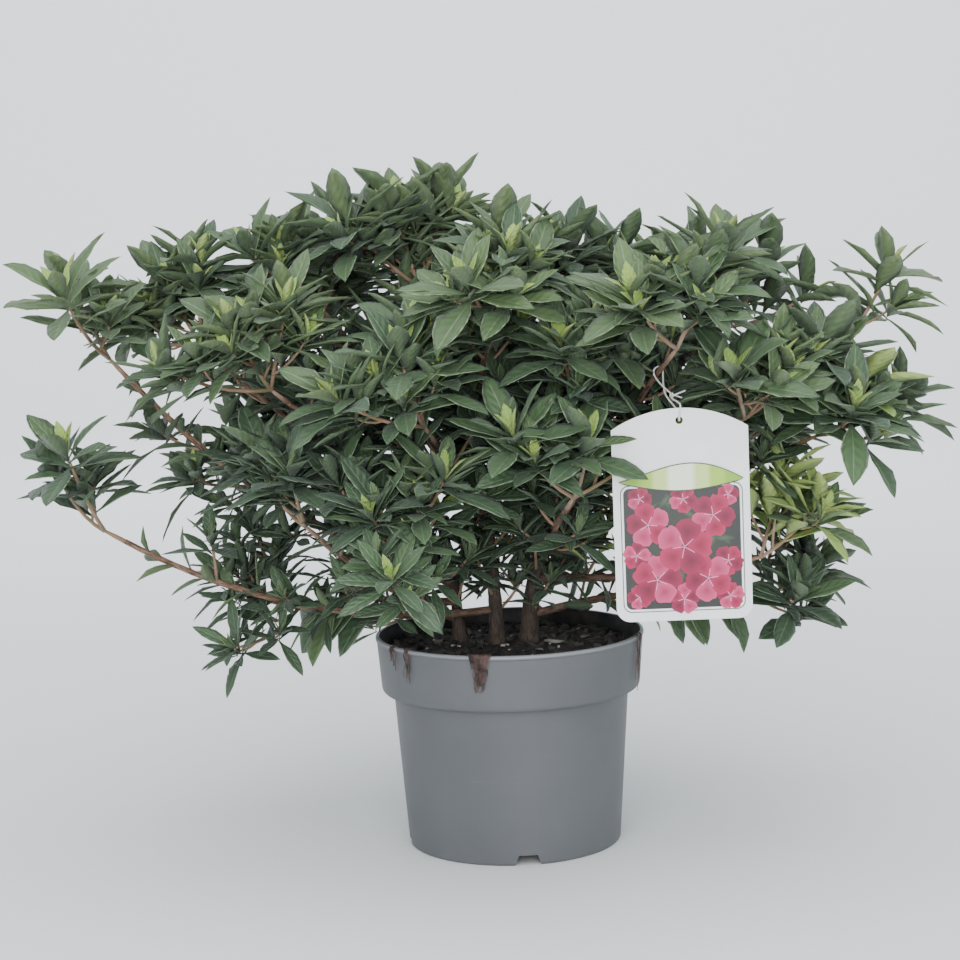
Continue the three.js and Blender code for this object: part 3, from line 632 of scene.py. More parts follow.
def barked(line, radius_at, sides, spacing, seed):
    """A limb's skin with ridges along it and a ring at each old leaf scar, and its bark's grain."""
    length = evenly(line, 2)[1]
    rows = max(8, int(length / spacing))
    points, _ = evenly(line, rows)
    angles = 2 * np.pi * np.arange(sides) / sides
    radii, grain = [], []
    for row in range(rows + 1):
        t = row / rows
        base = radius_at(t, length)
        ring = 0.04 * math.exp(-((t * length / 17 + 0.3 * seed) % 1 - 0.5) ** 2 / 0.01)
        ridges = [
            0.10 * noise_at(3 * math.cos(a) + seed, 3 * math.sin(a), t * length / 9, 1)
            + 0.07 * noise_at(base * math.cos(a), base * math.sin(a) + seed, t * length / 8, 1.3)
            for a in angles]
        radii.append(base * (1 + ring + np.array(ridges)))
        grain += [(base * math.cos(a) + 37 * seed, base * math.sin(a), t * length) for a in angles]
    grain += [(37 * seed, 0, 0), (37 * seed, 0, length)]
    return tube(points, np.array(radii), sides), grain


lines, samples, sample_radii, sample_owners, tips = {}, [], [], [], []


def note_limb(line, radius_at, owner=""):
    """Keeps points along a limb with its radius there, so that leaves stay off it."""
    length = evenly(line, 2)[1]
    count = math.ceil(length / 2)
    points, _ = evenly(line, count)
    for i, point in enumerate(points):
        samples.append(point)
        sample_radii.append(radius_at(i / count, length))
        sample_owners.append(owner)


stem_skins, stem_grain = [], []
for number, (name, foot, tip, top, upright, radius) in enumerate(STEMS):
    line = stem_line(
        np.array([*foot, SOIL_LEVEL + CLEAR]), np.array([*foot, upright]), np.array([*tip, top]))

    def stem_radius(t, length, radius=radius):
        flare = FLARE * math.exp(-t * length / FLARE_LENGTH)
        return radius + (STEM_TIP_RADIUS - radius) * t + flare

    lines[name] = line
    note_limb(line, stem_radius)
    skin, grain = barked(line, stem_radius, 24, 1.6, number + 1)
    stem_skins.append(skin)
    stem_grain += grain
for name, line in zip(("crest_left", "top", "crest_far_right"), list(lines.values())):
    tips.append((name, line(np.array(1.0)), end_direction(line), {}))


def bough_radius(t, length=0):
    return BOUGH_RADII[0] + (BOUGH_RADII[1] - BOUGH_RADII[0]) * t


bough_skins, bough_grain = [], []
shares = np.linspace(0, 1, 20001)
for number, (name, stem, fork, bearing, reach, top, sag, more) in enumerate(BOUGHS):
    stem_at = lines[STEMS[stem][0]]
    start = stem_at(shares[np.searchsorted(stem_at(shares)[:, 2], fork)])
    angle = math.radians(bearing)
    tip = np.array([reach * math.cos(angle), reach * math.sin(angle), top])
    line = bough_line(start, tip, sag, SWAY if number % 2 == 0 else -SWAY)
    lines[name] = line
    note_limb(line, bough_radius)
    skin, grain = barked(line, bough_radius, 14, 2.0, number + 11)
    bough_skins.append(skin)
    bough_grain += grain
    tips.append((name, tip, end_direction(line), more))

# Azalea bark: thin and matt, grey brown on the old stems and warmer on the younger boughs, with
# darker cracks along the grain about a millimetre apart. Near the middle of the plant, under the
# crown, it is painted darker: painted shade
for kind, pale, mid, dark, skins, grain, nodes, slot_name in (
    ("stem", "695b50", "4f4239", "2a211c", stem_skins, stem_grain,
     [stem[0] for stem in STEMS], "stem_bark"),
    ("bough", "9a7d68", "7d604e", "3f2f26", bough_skins, bough_grain,
     ["bough_" + bough[0] for bough in BOUGHS], "bough_bark"),
):
    bark, shader = new_material(f"thin_ridged_{kind}_bark", Roughness=0.85)
    place = add_node(bark, "ShaderNodeTexCoord").outputs["Object"]
    stretched = add_node(bark, "ShaderNodeMapping", {"Scale": (0.9, 0.9, 0.16)}, {
        "Vector": add_node(bark, "ShaderNodeAttribute", attribute_name="grain").outputs["Vector"]})
    cracks = add_node(
        bark, "ShaderNodeTexNoise", {"Scale": 1.0, "Detail": 5, "Roughness": 0.65},
        {"Vector": stretched.outputs[0]})
    patches = add_node(bark, "ShaderNodeTexNoise", {"Scale": 110, "Detail": 3}, {"Vector": place})
    patchy = add_node(
        bark, "ShaderNodeValToRGB", links={"Fac": patches.outputs[0]},
        stops=[(0.35, mid), (0.7, pale)])
    crack_mask = add_node(
        bark, "ShaderNodeMapRange", {"From Min": 0.56, "From Max": 0.38},
        {"Value": cracks.outputs[0]})
    cracked = add_node(
        bark, "ShaderNodeMix", {7: linear(dark)},
        {0: crack_mask.outputs[0], 6: patchy.outputs[0]}, data_type="RGBA")
    flattened = add_node(bark, "ShaderNodeMapping", {"Scale": (1, 1, 0)}, {"Vector": place})
    # Painted shade: the bark is darkened towards the upright axis, inside the crown
    off_middle = add_node(
        bark, "ShaderNodeVectorMath", links={0: flattened.outputs[0]}, operation="LENGTH")
    age = add_node(
        bark, "ShaderNodeMapRange", {"From Min": 0.17, "From Max": 0.06, "To Max": 0.55},
        {"Value": off_middle.outputs["Value"]})
    inner_shaded = add_node(
        bark, "ShaderNodeMix", {7: linear(dark)}, {0: age.outputs[0], 6: cracked.outputs[2]},
        data_type="RGBA")
    bark.node_tree.links.new(inner_shaded.outputs[2], shader.inputs["Base Color"])
    crack_relief = add_node(
        bark, "ShaderNodeBump", {"Strength": 0.7, "Distance": 0.0006},
        {"Height": cracks.outputs[0]})
    bark.node_tree.links.new(crack_relief.outputs[0], shader.inputs["Normal"])
    wood = mesh_piece(f"{kind}_wood", *joined(skins), bark, grain=grain)
    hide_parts(*nodes)


# The shoots and twigs
#
# Each limb ends in a few leafy shoots that branch by one seeded rule, spread and turn up to the
# light. Side twigs of the last season grow from the shoots, and a few from the boughs themselves.

STALK = 16
SHOOT_LENGTH = 62
STALK_RADII = (1.8, 1.6)
SHOOT_RADII = (1.5, 1.15)
SIDE_RADII = (1.05, 0.85)
INNER_RADII = (1.25, 0.9)
BUD_RADIUS = 3.0
RISE = 0.65
LIMB_MARGIN = 1.2
POT_MARGIN = 3
CARD_BOX = np.array([(67, -219, 177), (161, -133, 319.5)])
# Where a limb or a shoot bears its twigs, as a share of its length, and how long they are
SIDE_TWIGS = [(0.24, 32), (0.50, 27), (0.70, 20)]
BOUGH_TWIGS = [(0.24, 36), (0.38, 34), (0.50, 38), (0.62, 36), (0.76, 34), (0.88, 28)]
STEM_TWIGS = [
    (0.19, 32), (0.26, 38), (0.34, 44), (0.42, 46), (0.50, 46), (0.57, 44), (0.64, 44), (0.72, 42),
    (0.79, 40), (0.86, 36), (0.94, 30), (0.085, 30), (0.12, 36), (0.155, 34), (0.22, 36)]
BARE_BOUGHS = ("left_high", "left_low")
BARE_TWIGS = 5
SPARSE_ENDS = ("left_high", "left_low", "crest_far_right", "right_high")
GOLDEN = 137.5
TIP_RISE = 0.7
LEAF_ROOM = 16


def shoot_directions(along, count, start, draw):
    """The leading shoot runs on; the others spread round it, and all of them rise."""
    side = unit(np.cross(along, UP))
    over = np.cross(side, along)
    directions = [unit(along + UP * RISE)]
    for i in range(1, count):
        turn = math.radians(start + (i - 1) * 360 / (count - 1) + (draw() - 0.5) * 40)
        lean = math.radians(62 + (draw() - 0.5) * 16)
        spread = side * math.cos(turn) + over * math.sin(turn)
        directions.append(unit(along * math.cos(lean) + spread * math.sin(lean) + UP * RISE))
    return directions


masses = []
for number, (name, at, along, more) in enumerate(tips):
    draw = seeded(number + 1)
    fork = at + along * STALK
    start = more["turn"] if "turn" in more else draw() * 360
    shoots = []
    for i, direction in enumerate(shoot_directions(along, more.get("shoots", 3), start, draw)):
        length = SHOOT_LENGTH * (0.8 if i == 0 else 1) * (0.9 + 0.25 * draw())
        shoots.append({"fork": fork, "direction": direction, "end": fork + direction * length,
                       "turn": draw() * 360})
    masses.append({"name": name, "at": at, "along": along, "fork": fork, "shoots": shoots,
                   "young": "young" in more})


def straight(start, end):
    """The line between two points."""
    return lambda t: start + (end - start) * np.asarray(t)[..., None]


def bud_radius(t, length):
    return BUD_RADIUS


for mass in masses:
    note_limb(straight(mass["at"], mass["fork"]), bud_radius, mass["name"])
    for shoot in mass["shoots"]:
        note_limb(straight(shoot["fork"], shoot["end"]), bud_radius, mass["name"])
samples = np.array(samples)
sample_radii = np.array(sample_radii)
sample_owners = np.array(sample_owners)
all_ends = np.array([s["end"] for m in masses for s in m["shoots"]])
end_owners = np.array([m["name"] for m in masses for _ in m["shoots"]])


def kept_free(point, margin=0.0):
    """Whether a point is inside the pot's own space or in front of the picture card."""
    if math.hypot(point[0], point[1]) < POT_RIM + POT_MARGIN and point[2] < POT_HEIGHT + POT_MARGIN:
        return True
    return bool(np.all(point > CARD_BOX[0] - margin) and np.all(point < CARD_BOX[1] + margin))


def touches_limb(point, margin, owner):
    others = sample_owners != owner
    gaps = np.linalg.norm(samples[others] - point, axis=1) - sample_radii[others]
    return bool(np.any(gaps < margin))


def own_space(point, owner):
    """How much nearer a point is to a shoot's end of its own mass than to any other's."""
    gaps = np.linalg.norm(all_ends - point, axis=1)
    return gaps[end_owners != owner].min() - gaps[end_owners == owner].min()


def shoot_fits(shoot, owner):
    for t in np.arange(0.2, 1.0, 0.1):
        point = shoot["fork"] + (shoot["end"] - shoot["fork"]) * t
        if own_space(point, owner) < BUD_RADIUS or kept_free(point):
            return False
        if touches_limb(point, BUD_RADIUS + LIMB_MARGIN, owner):
            return False
    return True


def round_about(direction, turn):
    """The direction square to a line at a turn round it."""
    side = unit(np.cross(direction, UP if abs(direction[2]) < 0.95 else (1, 0, 0)))
    over = np.cross(side, direction)
    return side * math.cos(math.radians(turn)) + over * math.sin(math.radians(turn))


twig_skins, ends = [], []
wood_points = [tuple(p) for p in samples[sample_owners == ""]]


def turned_up(start, end, bow):
    """The way a bowed twig points at its end, where it turns up to the light."""
    return unit(unit(end - start - 4 * bow) + UP * TIP_RISE)


def grow(start, end, radii, bow, rows=5):
    """A twig between two points, bowed a little to one side and narrowed at its end."""
    t = np.linspace(0, 1, rows + 1)[:, None]
    path = start + (end - start) * t + np.asarray(bow) * 4 * t * (1 - t)
    radius = radii[0] + (radii[1] - radii[0]) * t[:, 0]
    radius[-1] *= 0.7
    twig_skins.append(tube(path, radius, 6))
    wood_points.extend(tuple(p) for p in path[1:-1])


def off_limb(along, turn, lean, lift, length, draw):
    """The way a twig leaves its limb, lifted towards the light, and how far it reaches."""
    aside = along * math.cos(lean) + round_about(along, turn) * math.sin(lean) + UP * lift
    return unit(aside), length * (0.8 + 0.4 * draw())


def note_end(start, end, bow, turn, mass, rank):
    """Keeps the end of a shoot or twig for its leaves, numbered in the order of growth."""
    ends.append({"from": start, "at": end, "direction": turned_up(start, end, bow), "turn": turn,
                 "mass": mass, "rank": rank, "seed": len(ends)})


for number, mass in enumerate(masses):
    draw = seeded(2000 + number)
    name = mass["name"]
    grow(mass["at"] - mass["along"] * 2, mass["fork"], STALK_RADII, (0, 0, 0), 2)
    for shoot in mass["shoots"]:
        if not shoot_fits(shoot, name):
            continue
        fork, direction = shoot["fork"], shoot["direction"]
        bow = round_about(direction, draw() * 360) * 1.5 - UP * 4.5
        grow(fork - direction * 0.5, shoot["end"], SHOOT_RADII, bow)
        note_end(fork, shoot["end"], bow, shoot["turn"], mass, "leader")
        turn = draw() * 360
        for share, length in SIDE_TWIGS[:1] if name in SPARSE_ENDS else SIDE_TWIGS:
            turn += GOLDEN + 30 * (draw() - 0.5)
            lean = math.radians(46 + 14 * draw())
            root = fork + (shoot["end"] - fork) * share + bow * 4 * share * (1 - share)
            aside, reach = off_limb(direction, turn, lean, 0.45, length, draw)
            end = root + aside * reach
            leaf_tip = root + aside * (reach + LEAF_ROOM)
            if kept_free(end, 8) or own_space(leaf_tip, name) < 0 or touches_limb(end, 4, name):
                continue
            twig_bow = round_about(aside, draw() * 360) * 0.8 - UP * 2.2
            grow(root, end, SIDE_RADII, twig_bow, 4)
            note_end(root, end, twig_bow, draw() * 360, mass, "side")

# Inner twigs bear the leaves of their own limb's mass
mass_by_name = {mass["name"]: mass for mass in masses}
bearers = [
    (bough[0], bough[0], BOUGH_TWIGS[:BARE_TWIGS] if bough[0] in BARE_BOUGHS else BOUGH_TWIGS)
    for bough in BOUGHS]
bearers += [
    ("stem_left", "crest_left", STEM_TWIGS), ("stem_middle", "top", STEM_TWIGS),
    ("stem_right", "crest_far_right", STEM_TWIGS)]
for number, (limb, mass_name, twigs) in enumerate(bearers):
    draw = seeded(3000 + number)
    turn = draw() * 360
    line = lines[limb]
    for share, length in twigs:
        turn += GOLDEN + 30 * (draw() - 0.5)
        root = line(np.array(share))
        along = unit(line(np.array(min(share + 0.01, 1.0))) - line(np.array(share - 0.01)))
        lean = math.radians(52 + 16 * draw())
        aside, reach = off_limb(along, turn, lean, 0.55, length, draw)
        end = root + aside * reach
        if (kept_free(end, 10) or touches_limb(root + aside * reach * 0.6, 3, "")
                or touches_limb(end, 5, "")):
            continue
        twig_bow = round_about(aside, draw() * 360) - UP * 3
        grow(root, end, INNER_RADII, twig_bow, 4)
        note_end(root, end, twig_bow, draw() * 360, mass_by_name[mass_name], "inner")

# Young azalea bark: smooth, pinkish brown and a little hairy, with greener blotches
twig_bark, shader = new_material("smooth_young_bark", Roughness=0.7)
shader.inputs["Sheen Weight"].default_value = 0.15
place = add_node(twig_bark, "ShaderNodeTexCoord").outputs["Object"]
blotches = add_node(twig_bark, "ShaderNodeTexNoise", {"Scale": 60, "Detail": 3}, {"Vector": place})
twig_colour = add_node(
    twig_bark, "ShaderNodeValToRGB", links={"Fac": blotches.outputs[0]},
    stops=[(0.35, "77694a"), (0.5, "8c6f57"), (0.68, "a08470")])
twig_bark.node_tree.links.new(twig_colour.outputs[0], shader.inputs["Base Color"])
scars = add_node(twig_bark, "ShaderNodeTexNoise", {"Scale": 700, "Detail": 2}, {"Vector": place})
scar_relief = add_node(
    twig_bark, "ShaderNodeBump", {"Strength": 0.4, "Distance": 0.0004},
    {"Height": scars.outputs[0]})
twig_bark.node_tree.links.new(scar_relief.outputs[0], shader.inputs["Normal"])
twigs = mesh_piece("leafy_twigs", *joined(twig_skins), twig_bark)


# The leaves
#
# Evergreen azalea leaves, four to five centimetres long, set in whorls at the twig ends and singly
# below them. Each is folded along its midrib, bends down to its point and has a thin paler edge.

LEAF_LENGTH = 47
LEAF_WIDTH = 16.8
# A whorl's tiers: leaves in it, their tilt, size, distance behind the twig's end, and age
TIERS = [
    (4, 6, 1.00, 7.5, "old"),
    (3, 30, 1.00, 4.5, "old"),
    (3, 56, 0.88, 2.0, "new"),
    (3, 74, 0.50, 0.3, "bud"),
]
TURN_PER_TILT = 7
BUD_KINDS = {"dark": "light", "mid": "young", "light": "young", "young": "young"}
NEW_KINDS = {"dark": "mid", "mid": "light", "light": "light", "young": "young"}
NEW_SHARE = 0.35
RANK_SIZES = {"leader": 1.10, "side": 0.90, "inner": 0.86}
TOP_SIZE = 1.12
LONE_LEAVES = {"leader": 6, "side": 3, "inner": 4}
# The blade's half width at stations along it, and its columns from edge to edge
STATIONS = np.array([0.0, 0.14, 0.33, 0.54, 0.74, 0.89])
HALF_WIDTHS = np.array([0.09, 0.25, 0.72, 1.0, 0.83, 0.43])
COLUMNS = np.array([-1.0, -0.5, 0.0, 0.5, 1.0])
LEAF_POINTS = len(STATIONS) * 6 + 1
# How far each half is cupped and its edge waves, in half widths, and the blade's depth in
# millimetres at its foot and how much of that it loses to its point
CUPPING = 0.09
EDGE_WAVE = 0.035
BLADE_DEPTH = 0.55
DEPTH_LOSS = 0.35
# Leaves are small from the height of full shade down and reach full size above it, but for those
# in the open on the right, which are broad and few
FULL_SHADE = 180
SHADE_DEPTH = 130
SHADE_SHRINK = 0.26
SHADE_SLIM = 0.33
BROAD_LEAVED_MASSES = ("right_front", "right_foot")
BROAD_SHADE = 0.15
BROAD_BARE_SHARE = 0.45
# How light a spray's leaves are painted, by its place and rank as painted light and shade, and from
# where it counts as light or mid
PAINTED_SHADE_MASSES = ("front_left_low", "left_foot", "right_foot", "back_low")
PAINTED_SHADE_LOSS = 0.22
INNER_PAINTED_SHADE = 0.16
LIGHT_ABOVE = 0.60
MID_ABOVE = 0.28
YOUNG_SHARE = 0.8
FRESH_SHOOTS = {194: "young", 249: "light"}
# Leaves along the long boughs: first and last share of the bough, how many, the share of light
# ones and whether they hang. The outer boughs keep a leaf every two centimetres or so along their
# last half, the low ones behind the card and at the back along their shaded first half, and from
# the two lowest, larger leaves hang down past the pot's rim
BOUGH_LEAVES = [
    ("left_high", 0.50, 0.97, 14, 0.4, False),
    ("left_low", 0.40, 0.97, 15, 0.4, False),
    ("right_foot", 0.12, 0.60, 12, 0.0, False),
    ("right_front", 0.10, 0.60, 12, 0.0, False),
    ("back_low", 0.15, 0.90, 12, 0.0, False),
    ("right_foot", 0.55, 1.00, 8, 0.3, True),
    ("left_foot", 0.55, 1.00, 9, 0.3, True),
]
# Two leaves of one shoot that lie over the card's left edge: share of the shoot, tip, width, kind
CARD_EDGE_SHOOT = 251
CARD_EDGE_LEAVES = [(0.75, (91, -158, 276), 17, "mid"), (0.92, (84, -156, 301), 9, "light")]
FRONT = np.array([0.0, -1.2, 0.4])
STRING_VIEW = np.array([(98, -260, 319), (131, -126, 364)])


def leaf_faces():
    """The faces of one leaf and the place of each face corner on its blade."""
    quads, triangles, quad_uv, triangle_uv = [], [], [], []
    tip = len(STATIONS) * 6
    last = len(STATIONS) - 1
    across = list((COLUMNS + 1) / 2) + [0.5]
    # Four strips of the upper side, then two of the underside, whose places lie 2 further on
    strips = [(c, c + 1, 0) for c in range(4)] + [(5, 0, 2), (4, 5, 2)]
    for row in range(last):
        here, ahead = row * 6, row * 6 + 6
        for a, b, aside in strips:
            quads.append((here + a, here + b, ahead + b, ahead + a))
            quad_uv += [(across[column] + aside, STATIONS[station])
                        for station, column in ((row, a), (row, b), (row + 1, b), (row + 1, a))]
    for a, b, aside in strips:
        triangles.append((last * 6 + a, last * 6 + b, tip))
        triangle_uv += [(across[a] + aside, STATIONS[last]), (across[b] + aside, STATIONS[last]),
                        (0.5 + aside, 1.0)]
    for c in range(4):
        triangles.append((5, c + 1, c))
        triangle_uv += [(2.5, 0.0), (2.5, 0.0), (2.5, 0.0)]
    return np.array(quads), np.array(triangles), np.array(quad_uv), np.array(triangle_uv)


LEAF_QUADS, LEAF_TRIANGLES, LEAF_QUAD_UV, LEAF_TRIANGLE_UV = leaf_faces()

limb_tree = kdtree.KDTree(len(wood_points))
for i, point in enumerate(wood_points):
    limb_tree.insert(Vector(point), i)
limb_tree.balance()


def leaf_clear(foot, along, face, length):
    """Whether a leaf keeps out of the card's and the pot's space and off the wood."""
    for share, droop in (
        (0.15, 0.0), (0.35, 0.02), (0.55, 0.05), (0.7, 0.08), (0.85, 0.12), (1.0, 0.17),
    ):
        point = foot + along * length * share - face * length * droop
        if kept_free(point, 7 if 0.3 < share < 0.9 else 3):
            return False
        if np.all(point > STRING_VIEW[0]) and np.all(point < STRING_VIEW[1]):
            return False
        if share > 0.5 and limb_tree.find(Vector(point))[2] < 3.0:
            return False
    return True


sprays = {"dark": [], "mid": [], "light": [], "young": []}


def add_leaf(kind, foot, along, face, length, width, draw):
    """Keeps a leaf for its spray, with a fold, a bend, a twist and a tone of its own."""
    fold = 0.16 + 0.30 * draw()
    bend = 0.08 + 0.50 * draw() ** 1.5
    twist = (draw() - 0.5) * 0.5
    sprays[kind].append((*foot, *along, *face, length, width, fold, bend, twist, draw()))


def kind_of(end, draw):
    """The leaf colour of a spray by its place, as painted light and shade: dark within and below,
    lighter above, outside and in front.
    """
    if end["mass"]["young"]:
        return "young" if end["rank"] == "leader" or draw() < YOUNG_SHARE else "light"
    if end["seed"] in FRESH_SHOOTS:
        return FRESH_SHOOTS[end["seed"]]
    # Painted light and shade: high, outer and front sprays get paler leaves, inner and low ones
    # darker
    at = end["at"]
    outward = math.hypot(at[0] / 300, at[1] / 190)
    lift = (at[2] - 250) / 300
    forward = -at[1] / 190
    painted_light = 0.25 * outward + 0.74 * lift + 0.12 * forward + 0.50 * (draw() - 0.5)
    if end["rank"] == "inner":
        painted_light -= INNER_PAINTED_SHADE
    if end["mass"]["name"] in PAINTED_SHADE_MASSES:
        painted_light -= PAINTED_SHADE_LOSS
    if painted_light > LIGHT_ABOVE:
        return "light"
    return "mid" if painted_light > MID_ABOVE else "dark"


def leaf_from(direction, node, turn, tilt, size, kind, draw, slim, facing=None):
    """Adds the leaf nearest its wanted turn round a twig that keeps clear, or none."""
    if facing is None:
        # A blade turns its upper side a little towards the sky and out to the open
        facing = UP * 0.35 + unit((node[0], node[1], 0)) * 0.25
    for aside in (0, 14, -14, 28, -28):
        outward = round_about(direction, turn + aside)
        rise = math.radians(tilt)
        along = outward * math.cos(rise) + direction * math.sin(rise)
        face = unit(direction * math.cos(rise) - outward * math.sin(rise) + facing)
        face = unit(face - along * face.dot(along))
        foot = node - along * 0.6
        length = LEAF_LENGTH * size
        if leaf_clear(foot, along, face, length):
            width = LEAF_WIDTH * size * slim * (0.9 + 0.2 * draw())
            add_leaf(kind, foot, along, face, length, width, draw)
            return


for end in ends:
    draw = seeded(5000 + end["seed"])
    kind = kind_of(end, draw)
    name, rank, direction = end["mass"]["name"], end["rank"], end["direction"]
    shade = 1 - min(1, max(0, (end["at"][2] - FULL_SHADE) / SHADE_DEPTH))
    if name in BROAD_LEAVED_MASSES:
        shade *= BROAD_SHADE
    own_size = RANK_SIZES[rank] * (1 - SHADE_SHRINK * shade)
    slim = 1 - SHADE_SLIM * shade
    if name == "top":
        own_size *= TOP_SIZE
    fewer = 1 if rank != "leader" or name in SPARSE_ENDS else 0
    if name in BROAD_LEAVED_MASSES and rank != "leader":
        fewer += 1
        if draw() < BROAD_BARE_SHARE:
            continue
    for leaves, tilt, size, back, age in TIERS:
        count = leaves - (fewer if age == "old" else 0)
        for i in range(count):
            turn = end["turn"] + tilt * TURN_PER_TILT + i * 360 / count + (draw() - 0.5) * 26
            node = end["at"] - direction * (back + 1.5 * draw())
            leaf_kind = kind
            if age == "bud":
                leaf_kind = BUD_KINDS[kind]
            elif age == "new" and draw() < NEW_SHARE:
                leaf_kind = NEW_KINDS[kind]
            leaf_from(direction, node, turn, tilt + 16 * (draw() - 0.5),
                      size * own_size * (0.84 + 0.28 * draw()), leaf_kind, draw, slim)
    # Single leaves down the twig, from just under the whorl towards its foot
    turn = end["turn"] + 60
    for i in range(LONE_LEAVES[rank]):
        turn += GOLDEN
        share = 0.80 - 0.55 * i / (LONE_LEAVES[rank] - 1)
        node = end["from"] + (end["at"] - end["from"]) * share
        leaf_from(direction, node, turn, 24 + 22 * draw(), own_size * (0.76 + 0.24 * draw()), kind,
                  draw, slim)

for number, (name, first_share, last_share, count, pale_share, hanging) in enumerate(BOUGH_LEAVES):
    draw = seeded(7000 + number)
    line = lines[name]
    for i in range(count):
        share = first_share + (last_share - first_share) * (i + 0.6 * draw()) / count
        along = unit(line(np.array(share + 0.01)) - line(np.array(share - 0.01)))
        # With no pale share a bough's leaves take the dark colour: painted shade on the low boughs
        kind = "light" if draw() < pale_share else "mid" if pale_share else "dark"
        node, lean, size = line(np.array(share)), 22 + 26 * draw(), 0.52 + 0.32 * draw()
        if hanging:
            # Round a bough that runs level, 270 degrees is straight down
            turn = 270 + 150 * (draw() - 0.5)
            leaf_from(along, node, turn, lean, size + 0.32, kind, draw, slim=1.15, facing=FRONT)
        else:
            leaf_from(along, node, i * GOLDEN, lean, size, kind, draw, slim=0.85)

draw = seeded(7100)
beside_card = next(end for end in ends if end["seed"] == CARD_EDGE_SHOOT)
for share, tip, width, kind in CARD_EDGE_LEAVES:
    foot = beside_card["from"] + (beside_card["at"] - beside_card["from"]) * share
    along = unit(np.array(tip) - foot)
    face = unit(np.array((0, -0.6, 0.8)))
    face = unit(face - along * face.dot(along))
    add_leaf(kind, foot, along, face, np.linalg.norm(np.array(tip) - foot), width, draw)
